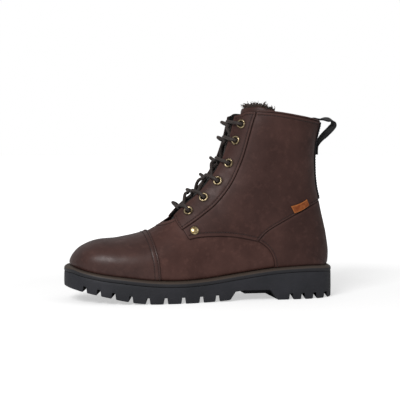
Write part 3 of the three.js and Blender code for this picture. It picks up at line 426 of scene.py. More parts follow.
def rounding(edge, radius):
    """How far a rounded face has fallen at a distance from its edge: 1 at the edge, 0 past the radius."""
    return 1 - np.sqrt(np.clip(1 - np.clip(1 - edge / radius, 0, 1) ** 2, 0, 1))


def linked(thing):
    """Puts a new object in the scene."""
    bpy.context.scene.collection.objects.link(thing)
    return thing


# ---------------------------------------------------------------- materials


def add_node(tree, kind, out=0, **inputs):
    """Adds a shader node. An input is a value, or a socket to link. Names starting with set_ are settings."""
    made = tree.nodes.new(kind)
    for key, value in inputs.items():
        if key.startswith("set_"):
            setattr(made, key[4:], value)
            continue
        name = key.replace("_", " ")
        target = made.inputs[int(name[1:])] if name in ("i0", "i1") else made.inputs[name]
        if isinstance(value, bpy.types.NodeSocket):
            tree.links.new(value, target)
        else:
            target.default_value = value
    return made.outputs[out]


def linear(rgb, factor=1.0):
    """An sRGB colour, 0 to 255, as the linear RGBA that a socket holds, times a factor."""
    values = (c / 3294.6 if c <= 10.3 else ((c / 255 + 0.055) / 1.055) ** 2.4 for c in rgb)
    return (*(min(1, value * factor) for value in values), 1.0)


class Look:
    """A procedural material being put together. Sizes and depths are in millimetres."""

    def __init__(self, name, **settings):
        self.material = bpy.data.materials.new(name)
        self.material.use_nodes = True
        self.tree = self.material.node_tree
        self.shader = self.tree.nodes["Principled BSDF"]
        for key, value in settings.items():
            self.shader.inputs[key.replace("_", " ")].default_value = value
        coordinates = self.tree.nodes.new("ShaderNodeTexCoord").outputs
        self.place, self.map = coordinates["Object"], coordinates["UV"]

    def node(self, kind, out=0, **inputs):
        return add_node(self.tree, kind, out, **inputs)

    def maths(self, operation, a, b=0.5, clamp=False):
        return self.node("ShaderNodeMath", set_operation=operation, set_use_clamp=clamp, i0=a, i1=b)

    def times(self, a, b):
        return self.maths("MULTIPLY", a, b)

    def ramp(self, value, low, high, start=0.0, end=1.0):
        limits = {"From_Min": low, "From_Max": high, "To_Min": start, "To_Max": end}
        return self.node("ShaderNodeMapRange", Value=value, **limits)

    def mix(self, share, first, second):
        """Colours given as three numbers are sRGB."""
        first, second = (linear(c) if isinstance(c, tuple) and len(c) == 3 else c for c in (first, second))
        return self.node("ShaderNodeMixRGB", Fac=share, Color1=first, Color2=second)

    def over(self, tone, colour, value, low, high, most=1.0):
        """A colour over a tone, by a share that goes from none to most as a value goes from low to high."""
        return self.mix(self.ramp(value, low, high, 0, most), tone, colour)

    def mark(self, name):
        """A number that each vertex carries."""
        return self.node("ShaderNodeAttribute", out=2, set_attribute_name=name)

    def noise(self, size, detail=3.0, rough=0.6, stretch=None):
        """Noise whose features are about size across, 0 to 1."""
        place = self.node("ShaderNodeMapping", Vector=self.place, Scale=stretch) if stretch else self.place
        scale = 1000.0 / size
        return self.node("ShaderNodeTexNoise", Vector=place, Scale=scale, Detail=detail, Roughness=rough)

    def done(self, base, roughness, heights):
        """Links colour and roughness, and chains bumps given as height, depth and strength."""
        self.tree.links.new(base, self.shader.inputs["Base Color"])
        self.tree.links.new(roughness, self.shader.inputs["Roughness"])
        normal = {}
        for height, depth, strength in heights:
            normal["Distance"] = depth * MM
            bump = self.node("ShaderNodeBump", Height=height, Strength=strength, **normal)
            normal = {"Normal": bump}
        self.tree.links.new(bump, self.shader.inputs["Normal"])
        return self.material


def leather(name, dark, middle, light, grain=1.0, rough=(0.40, 0.56), specular=0.22):
    """Waxed leather: cloudy pull-up tone, pebbled grain, fine pores, a paler worn band near the edges, darker
    cut edges, and painted shade in the stitch grooves, round the eyelets and along the sole.
    """
    look = Look(name, Specular_IOR_Level=specular)
    cloud, mottle, pores = look.noise(42, 4), look.noise(7, 4), look.noise(0.9, 2, 0.5)
    pebble = look.node("ShaderNodeTexVoronoi", Vector=look.place, Scale=1000 / (1.5 * grain),
                       set_feature="SMOOTH_F1", Smoothness=0.7)
    drawn = look.noise(16, 3, 0.5, stretch=(1, 0.6, 0.35))
    tone = look.over(dark, middle, cloud, 0.38, 0.64)
    tone = look.over(tone, light, mottle, 0.52, 0.78, 0.55)
    tone = look.over(tone, dark, pores, 0.40, 0.30, 0.35)
    dark_edge_and_painted_shade = look.mark("dark_edge_and_painted_shade")
    tone = look.mix(look.times(look.mark("lightened"), 0.30), tone, light)
    # Painted shade from a vertex mark: darker in the stitch grooves, round the eyelet flanges and in the
    # crease over the sole; the same mark also darkens the cut edges.
    tone = look.mix(look.times(dark_edge_and_painted_shade, 0.80), tone, linear(dark, 0.30))
    shine = look.ramp(mottle, 0.3, 0.7, rough[1], rough[0])
    shine = look.maths("ADD", shine, look.times(dark_edge_and_painted_shade, 0.25), clamp=True)
    return look.done(tone, shine, [(drawn, 0.5, 0.25), (pebble, 0.10, 0.35), (pores, 0.05, 0.30)])


def rubber(name, dark, light, rough=(0.55, 0.72), rim=None):
    """Moulded rubber: faint flow marks, a fine matt skin and dusty wear. rim is the colour it takes where a
    vertex mark asks for it.
    """
    look = Look(name, Specular_IOR_Level=0.4)
    cloud, fine, scuff = look.noise(30, 4), look.noise(0.5), look.noise(5, 5, 0.65, stretch=(0.6, 1, 2.2))
    tone = look.over(dark, light, cloud, 0.35, 0.7)
    if rim:
        tone = look.mix(look.times(look.mark("lightened"), look.ramp(cloud, 0.2, 0.8, 0.8, 1)), tone, rim)
    tone = look.over(tone, linear(light, 1.9), scuff, 0.6, 0.85, 0.35)
    return look.done(tone, look.ramp(scuff, 0.3, 0.7, *rough), [(cloud, 0.3, 0.15), (fine, 0.06, 0.35)])


def pile(name, root, tip, lump=2.6):
    """Curly fleece: dark at the roots and lighter at the tips of its clumps."""
    look = Look(name, Sheen_Weight=0.25, Sheen_Roughness=0.6, Specular_IOR_Level=0.15, Roughness=0.95)
    clumps, hair, patch = look.noise(lump), look.noise(0.5, 2), look.noise(22)
    tone = look.over(root, tip, clumps, 0.36, 0.66)
    tone = look.over(tone, root, patch, 0.4, 0.65, 0.3)
    tone = look.over(tone, root, hair, 0.55, 0.35, 0.4)
    return look.done(tone, look.ramp(hair, 0.3, 0.7, 0.85, 1.0), [(clumps, 1.2, 0.6), (hair, 0.3, 0.6)])


def woven(name, dark, light, pitch=None, rough=0.8, slant=False):
    """Woven cloth, webbing or braid. pitch is a thread's width. Without it the piece's map is in threads."""
    look = Look(name, Specular_IOR_Level=0.3, Sheen_Weight=0.1)
    scale = math.pi * (1000.0 / pitch if pitch else 1.0)
    parts = look.node("ShaderNodeSeparateXYZ", Vector=look.place if pitch else look.map)
    across, along = parts, parts.node.outputs[2 if pitch else 1]
    if slant:
        across, along = look.maths("ADD", across, along), look.maths("SUBTRACT", across, along)
    warp, weft = (look.maths("SINE", look.times(way, scale)) for way in (across, along))
    height = look.maths("ADD", look.times(look.times(warp, weft), 0.5), 0.5)
    cloud, fuzz = look.noise(9, 4), look.noise(0.4, 2)
    # Painted shade and highlight: the colour follows the weave's height, darker in the gaps between threads
    # and lighter on their crowns.
    tone = look.over(dark, light, height, 0.15, 0.85)
    tone = look.over(tone, dark, cloud, 0.4, 0.7, 0.35)
    shine = look.ramp(fuzz, 0.3, 0.7, rough - 0.1, rough + 0.1)
    return look.done(tone, shine, [(height, 0.35, 0.55), (fuzz, 0.12, 0.35)])


def metal(name, dark, bright, rough=(0.22, 0.5)):
    """Worn plated metal: patina in the hollows and scratches, bright where it is rubbed."""
    look = Look(name, Metallic=1.0)
    patina, scratch = look.noise(2.4, 5, 0.65), look.noise(0.7, 4, 0.7, stretch=(1, 0.25, 1.6))
    tone = look.over(bright, dark, patina, 0.42, 0.60)
    tone = look.over(tone, bright, scratch, 0.62, 0.75, 0.6)
    return look.done(tone, look.ramp(patina, 0.35, 0.65, *rough), [(scratch, 0.06, 0.3), (patina, 0.12, 0.2)])


def board(name, dark, light, size):
    """Pressed fibre or cork: specks of two tones with a coarse face."""
    look = Look(name, Specular_IOR_Level=0.2)
    speck = look.node("ShaderNodeTexVoronoi", Vector=look.place, Scale=1000 / size)
    cloud = look.noise(size * 6, 4)
    tone = look.over(light, dark, speck, 0.1, 0.7)
    tone = look.over(tone, dark, cloud, 0.4, 0.7, 0.4)
    return look.done(tone, look.ramp(cloud, 0.3, 0.7, 0.8, 0.9), [(speck, 0.3, 0.5)])


def plastic(name, dark, light):
    look = Look(name, Specular_IOR_Level=0.5)
    fine = look.noise(0.6)
    tone = look.mix(look.noise(4, 3, 0.5), dark, light)
    return look.done(tone, look.ramp(fine, 0.3, 0.7, 0.25, 0.4), [(fine, 0.04, 0.3)])


BROWN = leather("brown_leather", (60, 38, 34), (74, 49, 44), (90, 62, 56))
CAP_BROWN = leather("cap_leather", (60, 38, 34), (76, 51, 46), (92, 65, 59), 1.0, (0.34, 0.46), 0.34)
# A lighter copy of the brown leather, used on the vamp alone: painted light, for the extra light that falls
# on the vamp.
VAMP_LIT_BROWN = leather("vamp_leather", (69, 44, 39), (85, 57, 51), (102, 71, 64))
TAN = leather("tan_leather", (128, 62, 22), (158, 82, 34), (196, 120, 62), 0.7, (0.5, 0.65), 0.3)
THREAD = woven("thread", (34, 24, 23), (62, 46, 43), 0.3, rough=0.6)
SOLE = rubber("sole_rubber", (34, 35, 40), (44, 44, 50))
WELT_STRIP = rubber("welt_rubber", (34, 34, 38), (44, 43, 47), (0.48, 0.62), rim=(72, 61, 53))
FUR = pile("curly_fur", (38, 27, 23), (88, 68, 57))
LINING_FLEECE = pile("lining_fleece", (42, 31, 26), (88, 72, 62), lump=3.0)
CLOTH = woven("black_textile", (17, 15, 14), (42, 39, 38), 0.7)
WEBBING = woven("black_webbing", (12, 12, 13), (44, 44, 47))
LACE_LOOK = woven("lace_braid", (29, 24, 23), (78, 66, 61), slant=True, rough=0.55)
BRASS = metal("antique_brass", (84, 70, 50), (206, 186, 148))
BRIGHT_BRASS = metal("bright_brass", (150, 126, 82), (226, 206, 160), (0.22, 0.4))
STEEL = metal("spring_steel", (120, 120, 124), (190, 190, 194), (0.3, 0.5))
FIBRE = board("fibre_board", (150, 118, 82), (188, 156, 116), 0.9)
CORK = board("cork_filler", (112, 76, 44), (176, 132, 88), 2.2)
STIFF = board("stiffener", (176, 168, 152), (212, 206, 192), 0.7)
TIP = plastic("aglet_plastic", (14, 14, 15), (30, 29, 29))

# ---------------------------------------------------------------- panels of the upper


def wave(points):
    """The leather's slight unevenness, in millimetres."""
    other = Vector((7, 3, 1))
    return np.array([0.30 * noise.noise(Vector(p / 24)) + 0.08 * noise.noise(Vector(p / 8) + other)
                     for p in points])


BASE_ROWS = np.column_stack([BASE_ROWS, wave(BASE_ROWS[:, POINT])])

FEATHER = last_point(np.linspace(0, 13.7, 300), -1)
HEEL_LEVEL = last_point(FIRST_CLOSED - 1, 1)


def feather_height(x):
    """Height of the line where the upper meets the sole."""
    return SKIRT + np.where(x >= HEEL_LEVEL[0], HEEL_LEVEL[2], np.interp(x, FEATHER[:, 0], FEATHER[:, 2]))


def iso_lines(rows, faces, values, level):
    """The lines on a sheet where the values meet a level, each as an array of rows in order."""
    *_, spots, starts, ends = crossings(rows, faces, values, level)
    near = {}
    for p, q in zip(starts, ends):
        near.setdefault(p, []).append(q)
        near.setdefault(q, []).append(p)
    left = set(near)
    lines = []
    for start in sorted(near, key=lambda p: (len(near[p]) != 1, p)):
        if start not in left:
            continue
        chain = [start]
        left.discard(start)
        while True:
            onward = [q for q in near[chain[-1]] if q in left]
            if not onward:
                break
            chain.append(onward[0])
            left.discard(onward[0])
        if len(near[start]) > 1 and chain[-1] in near[start]:
            chain.append(start)
        lines.append(spots[chain])
    return lines


STITCH_PITCH = 2.9
STITCH_LENGTH = 2.2
THREAD_RADIUS = 0.30
STITCH_SIDES = 6


def stitch_template():
    """One stitch: a thread that comes up out of the leather and goes down again, along x."""
    t = np.array([-1, -0.86, -0.45, 0, 0.45, 0.86, 1])
    radius = THREAD_RADIUS * np.array([0.55, 0.9, 1, 1, 1, 0.9, 0.55])
    angle = np.linspace(0, 2 * np.pi, STITCH_SIDES, endpoint=False)
    ring = np.stack([np.zeros(STITCH_SIDES), np.cos(angle), np.sin(angle)], -1)
    centres = np.array([(s * STITCH_LENGTH / 2, 0.13 * s, 0.10 - 0.45 * s ** 4) for s in t])
    points = (centres[:, None] + ring[None] * radius[:, None, None]).reshape(-1, 3)
    quads, _ = ring_quads(len(t), STITCH_SIDES)
    around = np.arange(STITCH_SIDES)
    caps = np.array([around[::-1], around + len(points) - STITCH_SIDES])
    return points, quads[:, [1, 2, 3, 0]], caps


def lengths_along(line):
    """How far each point of a line is along it."""
    return np.r_[0, np.cumsum(np.linalg.norm(np.diff(line, axis=0), axis=1))]


def walk(line, pitch):
    """Spots at an even pitch along a line of points, as places on it counted in vertices."""
    length = lengths_along(line)
    count = int(length[-1] / pitch)
    if count < 1:
        return np.zeros(0)
    spots = (np.arange(count) + 0.5) * length[-1] / count
    return np.interp(spots, length, np.arange(len(line)))


def at_places(values, places):
    """Values between the vertices of a line, at places counted in vertices."""
    i = np.clip(places.astype(int), 0, len(values) - 2)
    t = (places - i)[:, None]
    return values[i] * (1 - t) + values[i + 1] * t


def sew(name, lines, height, thread=None, body="boot"):
    """Stitches along lines of rows on the last, at a height over it."""
    template, quads, caps = stitch_template()
    centres, tangents, normals = [], [], []
    for line in lines:
        points = line[:, POINT] + unit(line[:, NORMAL]) * (height + line[:, WAVE:WAVE + 1])
        places = walk(points, STITCH_PITCH)
        if not len(places):
            continue
        centres.append(at_places(points, places))
        tangents.append(unit(at_places(points, np.minimum(places + 0.6, len(points) - 1))
                             - at_places(points, np.maximum(places - 0.6, 0))))
        normals.append(unit(at_places(line[:, NORMAL], places)))
    centres, tangents, normals = (np.concatenate(a) for a in (centres, tangents, normals))
    across = unit(np.cross(normals, tangents))
    up = np.cross(tangents, across)
    axes = zip(template.T, (tangents, across, up))
    points = centres[:, None] + sum(reach[None, :, None] * way[:, None] for reach, way in axes)
    shift = np.arange(len(centres))[:, None, None] * len(template)
    faces = [(part[None] + shift).reshape(-1, part.shape[1]) for part in (quads, caps)]
    return make(name, points.reshape(-1, 3), faces, thread or THREAD, smooth=60, body=body)


ROUND_EDGE = 0.9
ROUND_DROP = 0.65
ROUND_LEVELS = (0.12, 0.35, 0.9, 1.6)
SEAM_HALF = 0.8
SEAM_LEVELS = [share * SEAM_HALF for share in (-1, -0.5, 0, 0.5, 1)]
SEAM_DEPTH = 0.22
EDGE_SHADE, FLANGE_SHADE, SOLE_SHADE = 0.7, 1.2, 1.6
RUBBED_AT, RUBBED_WIDTH = 1.5, 0.8
TUCK_HEIGHT = 3.5


def fleece_lumps(size, depth):
    """A function of the points that gives the height of curly pile, with lumps of a size."""
    def lumps(points):
        return np.array([depth * (noise.noise(Vector(p / size)) + 0.6 * noise.noise(Vector(p / size * 2.3)))
                         for p in points])
    return lumps


def panel(name, outline, top, bottom, material=None, side=0, limits=(), holes=(),
          rows=(), tuck=0.9, rough_inside=None, kind="leather", thread=None, map_of=None):
    """A panel cut from the last's skin: an outline in the side view, with faces at heights top and bottom.

    limits are functions of the points that are positive inside; holes are (centre, radius); rows are stitch
    rows as (curve in the side view or a function of the points, distance); map_of gives the points' map."""
    data, faces = BASE_ROWS, BASE_FACES
    outline = np.asarray(outline, float)
    for column, axis in ((0, 0), (1, 2)):
        reach = data[faces][:, :, axis]
        low, high = outline[:, column].min() - 2, outline[:, column].max() + 2
        faces = faces[(reach.max(1) > low) & (reach.min(1) < high)]
    data, faces = used_only(data, faces)
    if side:
        data, faces = clip(data, faces, data[:, 1] * side - GAP / 2)
    data, faces = clip(data, faces, outline_distance(data[:, [0, 2]], outline))
    for limit in limits:
        data, faces = clip(data, faces, limit(data[:, POINT]))
    data, faces = clip(data, faces, data[:, 2] - feather_height(data[:, 0]))
    for centre, radius in holes:
        data, faces = clip(data, faces, np.linalg.norm(data[:, POINT] - centre, axis=1) - radius)

    def edge_of(points):
        edge = np.minimum(np.abs(outline_distance(points[:, [0, 2]], outline)), 50)
        for limit in limits:
            edge = np.minimum(edge, np.abs(limit(points)))
        return edge

    def off_row(points, row, distance):
        away = np.abs(row(points)) if callable(row) else line_distance(points[:, [0, 2]], curve(row))
        return away - distance

    data, faces = score(data, faces, lambda rows: edge_of(rows[:, POINT]), ROUND_LEVELS)
    sewn = []
    for row, distance in rows:
        clear = min(distance, 2.0) - 0.35
        for line in iso_lines(data, faces, off_row(data[:, POINT], row, distance), 0):
            kept = edge_of(line[:, POINT]) > clear
            for run in np.split(np.arange(len(line)), np.where(np.diff(kept.astype(int)) != 0)[0] + 1):
                if kept[run[0]] and len(run) > 3:
                    sewn.append(line[run])
        data, faces = score(data, faces, lambda near: off_row(near[:, POINT], row, distance), SEAM_LEVELS)
    points, normals = data[:, POINT], unit(data[:, NORMAL])
    edge = edge_of(points)
    over_sole = points[:, 2] - feather_height(points[:, 0])
    height = top + data[:, WAVE] - ROUND_DROP * rounding(edge, ROUND_EDGE)
    height = height - tuck * np.clip(1 - over_sole / TUCK_HEIGHT, 0, 1) ** 2
    # dark holds darker cut edges and painted shade: in the stitch grooves, round the eyelet flanges and in
    # the crease just over the sole.
    dark = np.clip(1 - edge / EDGE_SHADE, 0, 1)
    for row, distance in rows:
        off = off_row(points, row, distance) / SEAM_HALF
        fade = ease(edge, distance * 0.2, distance * 0.5)
        height = height - SEAM_DEPTH * np.clip(1 - off ** 2, 0, 1) * fade
        dark = np.maximum(dark, 0.4 * np.exp(-(off * 1.6) ** 2) * fade)
    # Painted shadow round each eyelet's flange.
    for centre, _ in holes:
        past_flange = np.linalg.norm(points - centre, axis=1) - EYELET_FLANGE
        dark = np.maximum(dark, 0.6 * np.clip(1.2 - past_flange / FLANGE_SHADE, 0, 1))
    # Painted shade in the crease where the upper meets the welt.
    dark = np.maximum(dark, 0.9 * np.clip(1 - over_sole / SOLE_SHADE, 0, 1))
    lightened = np.exp(-((edge - RUBBED_AT) / RUBBED_WIDTH) ** 2)
    inner = bottom + data[:, WAVE]
    if rough_inside is not None:
        inner = inner - rough_inside(points + normals * bottom) * np.clip(edge / 2.5, 0, 1)
    both = np.concatenate([points + normals * height[:, None], points + normals * inner[:, None]])
    plain = np.zeros(len(dark))
    marks = {"dark_edge_and_painted_shade": np.r_[dark, plain], "lightened": np.r_[lightened, plain]}
    shell = closed_faces(faces, len(data))
    uv = map_of(points)[shell.ravel() % len(data)] if map_of else None
    made = make(f"{name}_{kind}", both, shell, material or BROWN, uv=uv, marks=marks, smooth=50)
    if sewn:
        sew(f"{name}_stitching", sewn, top - SEAM_DEPTH + THREAD_RADIUS * 0.75, thread)
    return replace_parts(made, name)


def reverse(line):
    return np.asarray(line)[::-1]


def where(line, low_x=-999, high_x=999, low_z=-999, high_z=999):
    """The points of a line that lie inside limits."""
    line = np.asarray(line, float)
    keep = (line[:, 0] > low_x) & (line[:, 0] < high_x) & (line[:, 1] > low_z) & (line[:, 1] < high_z)
    return line[keep]


def outline_of(*parts):
    """Points and lines joined into one outline."""
    return np.concatenate([np.atleast_2d(np.asarray(p, float)) for p in parts])


COLLAR_LINE = curve(COLLAR)
SEAM_LINE = curve(FACING_SEAM, move=GAP / 2)
OTHER_SEAM_LINE = curve(FACING_SEAM, move=-GAP / 2)


def in_front_of_throat(points):
    """Distance outside the throat's opening, across the boot."""
    return np.abs(points[:, 1]) - THROAT_HALF


def spots_at(targets, side):
    """Spots on the last's skin, from places in the side view."""
    u, v = locate(targets, side)
    return [{"u": a, "v": b, "point": last_point(a, b), "normal": last_normal(a, b)} for a, b in zip(u, v)]


SPOTS = [spots_at(EYELETS, side) for side in (-1, 1)]
RIVET_SPOTS = [spots_at(RIVET, side)[0] for side in (-1, 1)]
SIDES = (("lateral", -1, 0), ("medial", 1, 1))

QUARTER_OUTLINE = outline_of(
    where(reverse(COLLAR_LINE), low_x=58), [SEAM_TOP[0] + GAP / 2, SEAM_TOP[1]], where(SEAM_LINE, high_z=203),
    [-24.6, 76.4], curve(QUARTER_HEM), curve(HEEL_SEAM, move=GAP / 2)[1:])
FACING_OUTLINE = outline_of(
    [SEAM_TOP[0] - GAP / 2, SEAM_TOP[1]], where(reverse(COLLAR_LINE), high_x=54, low_x=-20), [-60, 198],
    [-60, 96], where(curve(FACING_TOE), low_z=77, high_z=95), where(reverse(OTHER_SEAM_LINE), high_z=203))
VAMP_OUTLINE = outline_of(
    reverse(curve(CAP_SEAM, move=-12)), [-58, 100], where(curve(THROAT), low_x=-50), [-10, 80],
    curve(QUARTER_HEM, move=13)[12:], curve(VAMP_END, move=13))
CAP_OUTLINE = outline_of([-160, 10], [-160, 95], curve(CAP_SEAM))
HEEL_OUTLINE = outline_of(
    curve(HEEL_SEAM, move=-GAP / 2), [160, 10], reverse(curve(VAMP_END, move=GAP / 2))[:-4])

panel("vamp", VAMP_OUTLINE, 0, -LEATHER, VAMP_LIT_BROWN, rows=[(THROAT, 2.6)],
      holes=[(spot["point"], RIVET_HOLE) for spot in RIVET_SPOTS])
panel("toe_cap", CAP_OUTLINE, OVERLAY_OUT, GAP, CAP_BROWN, rows=[(CAP_SEAM, 1.9), (CAP_SEAM, 6.2)])
panel("heel_panel", HEEL_OUTLINE, OVERLAY_OUT, GAP, rows=[(VAMP_END, 3.0)])
for side_name, sign, index in SIDES:
    panel(f"quarter_{side_name}", QUARTER_OUTLINE, OVERLAY_OUT, GAP, side=sign,
          rows=[(COLLAR, 3.4), (QUARTER_HEM, 4.2), (HEEL_SEAM, 2.4)],
          holes=[(RIVET_SPOTS[index]["point"], RIVET_HOLE)])
    panel(f"facing_{side_name}", FACING_OUTLINE, OVERLAY_OUT, GAP, side=sign, limits=[in_front_of_throat],
          rows=[(FACING_SEAM, 2.8), (FACING_TOE, 2.4), (COLLAR, 3.0)],
          holes=[(spot["point"], EYELET_BARREL + GAP) for spot in SPOTS[index]])


# ---------------------------------------------------------------- the sole


LOOP_COUNT = 520
LOOP_SMOOTHINGS = 12


def closed_loop():
    """The feather line's plan as an even closed loop, outer side from the toe first, with outward normals."""
    outer, inner = (last_point(np.linspace(0, 13.97, 400), side)[:, :2] for side in (-1, 1))
    ring = np.concatenate([outer, inner[::-1][:-1], outer[:1]])
    length = lengths_along(ring)
    at = np.linspace(0, length[-1], LOOP_COUNT, endpoint=False)
    even = np.stack([np.interp(at, length, ring[:, k]) for k in (0, 1)], -1)
    for _ in range(LOOP_SMOOTHINGS):
        even = (np.roll(even, 1, 0) + 2 * even + np.roll(even, -1, 0)) / 4
    way = unit(np.roll(even, -1, 0) - np.roll(even, 1, 0))
    return even, np.stack([way[:, 1], -way[:, 0]], -1)


LOOP, LOOP_NORMAL = closed_loop()
HEEL_END = LOOP[:, 0].max()


def welt_width(x):
    """How far the welt stands out from the feather line."""
    toe = 1 - ease(x, -142, -110)
    heel = ease(x, HEEL_END - 70, HEEL_END)
    return WELT_SIDE + (WELT_TOE - WELT_SIDE) * toe + (WELT_HEEL - WELT_SIDE) * heel


def moved_loop(out):
    """The loop moved out by a distance that may depend on x."""
    return LOOP + LOOP_NORMAL * (np.asarray(out) * np.ones(len(LOOP)))[:, None]


def plan_sheet(rim, columns, rows):
    """A triangle sheet in plan that fills a rim, with its rows across the boot."""
    toe, heel = rim[:, 0].argmin(), rim[:, 0].argmax()
    heel = (heel - toe) % len(rim)
    ring = np.roll(rim, -toe, 0)
    ring = np.concatenate([ring, ring[:1]])
    first, second = ring[:heel + 1], ring[heel:][::-1]
    x = lerp(ring[0, 0], ring[heel, 0], (1 - np.cos(np.linspace(0, np.pi, columns))) / 2)
    sides = [np.interp(x, np.maximum.accumulate(half[:, 0]), half[:, 1]) for half in (first, second)]
    low, high = np.minimum(*sides), np.maximum(*sides)
    share = np.linspace(0, 1, rows)
    points = np.stack([np.repeat(x, rows), (low[:, None] + (high - low)[:, None] * share).ravel()], -1)
    kept, faces = weld(points, grid_faces(columns, rows))
    return points[kept], faces


def plan_solid(plan, faces, low, high, wall):
    """Closes a plan sheet into a solid. wall is a list of (out, share of the height, height added)."""
    count = len(plan)
    edges = rim_edges(faces, count)
    rim = np.unique(edges)
    place = np.full(count, -1)
    place[rim] = np.arange(len(rim))
    near = ((plan[rim][:, None] - LOOP[None]) ** 2).sum(-1).argmin(1)
    outward = LOOP_NORMAL[near]
    layers = [np.column_stack([plan, low]), np.column_stack([plan, high])]
    for out, share, added in wall:
        level = lerp(low[rim], high[rim], share) + added
        layers.append(np.column_stack([plan[rim] + outward * out, level]))
    starts = np.cumsum([0] + [len(layer) for layer in layers])
    rings = [lambda i: i] + [lambda i, s=s: s + place[i] for s in starts[2:-1]] + [lambda i: i + count]
    a, b = edges.T
    walls = []
    for lower, upper in zip(rings[:-1], rings[1:]):
        walls.append(np.stack([lower(b), lower(a), upper(a)], 1))
        walls.append(np.stack([lower(b), upper(a), upper(b)], 1))
    return np.concatenate(layers), np.concatenate([faces, faces[:, ::-1] + count] + walls)


def oriented(plan, faces):
    """Plan faces that look down, so that the sheet is an underside."""
    a, b, c = (plan[faces[:, k]] for k in range(3))
    turn = (b[:, 0] - a[:, 0]) * (c[:, 1] - a[:, 1]) - (b[:, 1] - a[:, 1]) * (c[:, 0] - a[:, 0])
    return np.where((turn > 0)[:, None], faces[:, ::-1], faces)


def tread_height(x):
    """How high the outsole's underside stands over the ground, without its grooves."""
    profile = np.array(TREAD, float)
    return np.interp(x, profile[:, 0], profile[:, 1])


SOLE_BEVEL = 0.8
LUG_BEVEL = 0.5
LUG_WALL = [1.6, 2.45, 3.1]
CHANNEL = [14.4, 15, 15.6, 19.4, 20, 20.6]
CHANNEL_RISE = 0.7
FOREPART = [-129, -128, 26, 26.8]
HEEL_PART = [83.2, 84, 112, 112.8]
SHANK_BREAKS = [31, 42, 70.5, 80]
PLAQUE = [46, 46.8, 75.2, 76]
PLAQUE_HALF = [18.2, 19]
PLAQUE_HEIGHT = 5.0


def across_groove(points, x):
    """Distance from a tread groove's middle line, which leans."""
    return points[:, 0] - x - GROOVE_LEAN * (points[:, 1] + 50)


def build_outsole():
    """The rubber outsole: lugs between grooves, a channel round them, the shank's arch and a plain plaque."""
    rim = moved_loop(welt_width(LOOP[:, 0]) - SOLE_BEVEL)
    plan, faces = plan_sheet(rim, columns=260, rows=56)
    data = np.column_stack([plan, np.zeros(len(plan))])

    def inset(points):
        return outline_distance(points[:, :2], LOOP[::2])

    both_walls = [-wall for wall in LUG_WALL[::-1]] + LUG_WALL
    cuts = [(lambda p, x=x: across_groove(p, x), both_walls) for x in GROOVES]
    cuts += [(inset, CHANNEL), (lambda p: p[:, 0], sorted(FOREPART + SHANK_BREAKS + PLAQUE + HEEL_PART)),
             (lambda p: np.abs(p[:, 1]), PLAQUE_HALF)]
    for values_of, levels in cuts:
        data, faces = score(data, faces, values_of, levels)
    plan = data[:, :2]
    x, y = plan.T
    depth = np.zeros(len(plan))
    for groove in GROOVES:
        off = np.abs(across_groove(plan, groove))
        depth = np.maximum(depth, np.interp(off, LUG_WALL, [GROOVE_DEPTH, LUG_BEVEL, 0]))
    channel = np.interp(inset(plan), CHANNEL, [0, LUG_BEVEL, 1, 1, LUG_BEVEL, 0])
    channel = np.where(channel > LUG_BEVEL, (GROOVE_DEPTH - CHANNEL_RISE) * channel, channel)
    lugged = np.maximum(*(np.interp(x, part, [0, 1, 1, 0]) for part in (FOREPART, HEEL_PART)))
    low = tread_height(x) + np.maximum(depth, channel * lugged)
    on_plaque = np.interp(x, PLAQUE, [0, 1, 1, 0]) * np.interp(np.abs(y), PLAQUE_HALF, [1, 0])
    low = np.minimum(low, lerp(low, PLAQUE_HEIGHT, on_plaque))
    top = feather_height(x) - WELT_DROP - WELT_HEIGHT - GAP
    wall = [(SOLE_BEVEL * 0.7, 0, 0.25), (SOLE_BEVEL, 0, 0.8), (SOLE_BEVEL + 0.15, 0.4, 0.3),
            (SOLE_BEVEL, 0.8, 0), (SOLE_BEVEL * 0.95, 1, -0.9), (SOLE_BEVEL * 0.6, 1, -0.15)]
    points, faces = plan_solid(plan, oriented(plan, faces), low, top, wall)
    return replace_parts(make("outsole_rubber", points, faces, SOLE, smooth=32), "outsole")


def build_welt():
    """The welt strip. Its section is (out, height over the feather line, share of the welt's width added)."""
    low, high = -WELT_HEIGHT - WELT_DROP, -WELT_DROP
    section = [(-WELT_UNDER, low, 0), (-1, low, 1), (-0.5, low, 1), (-0.1, low + 0.35, 1),
               (0.12, low + 1.6, 1), (0.1, high - 2.9, 1), (-0.12, high - 2.1, 1), (-0.5, high - 1.5, 1),
               (-1.1, high - 1.0, 1), (-1.9, high - 0.45, 1), (WELT_FLAT - 0.6, high - 0.05, 0),
               (1.6, high, 0), (0.9, high, 0), (-WELT_UNDER, high, 0)]
    width = welt_width(LOOP[:, 0])
    loops = []
    for out, level, share in section:
        rim = moved_loop(out + width * share)
        loops.append(np.column_stack([rim, feather_height(rim[:, 0]) + level]))
    faces, _ = ring_quads(len(loops), len(LOOP), closed=True)
    # The welt takes the brown rim colour along its top bevel and its inner under-edge, and stays black below.
    brown = [float(level > high - 2.5 or out == -WELT_UNDER) for out, level, _ in section]
    made = make("welt_strip", np.concatenate(loops), faces, WELT_STRIP, smooth=50,
                marks={"lightened": np.repeat(brown, len(LOOP))})
    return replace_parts(made, "welt")


build_outsole()
build_welt()


# ---------------------------------------------------------------- tubes, straps and turned pieces


def frames_along(points):
    """Tangents and two crosswise directions that turn as little as they can along a line."""
    tangent = unit(np.gradient(points, axis=0))
    across = np.zeros_like(points)
    start = np.cross(tangent[0], [0.0, 0.0, 1.0])
    across[0] = unit(start if np.linalg.norm(start) > 0.1 else np.cross(tangent[0], [0.0, 1.0, 0.0]))
    for i in range(1, len(points)):
        across[i] = unit(across[i - 1] - tangent[i] * (across[i - 1] @ tangent[i]))
    return tangent, across, np.cross(tangent, across)


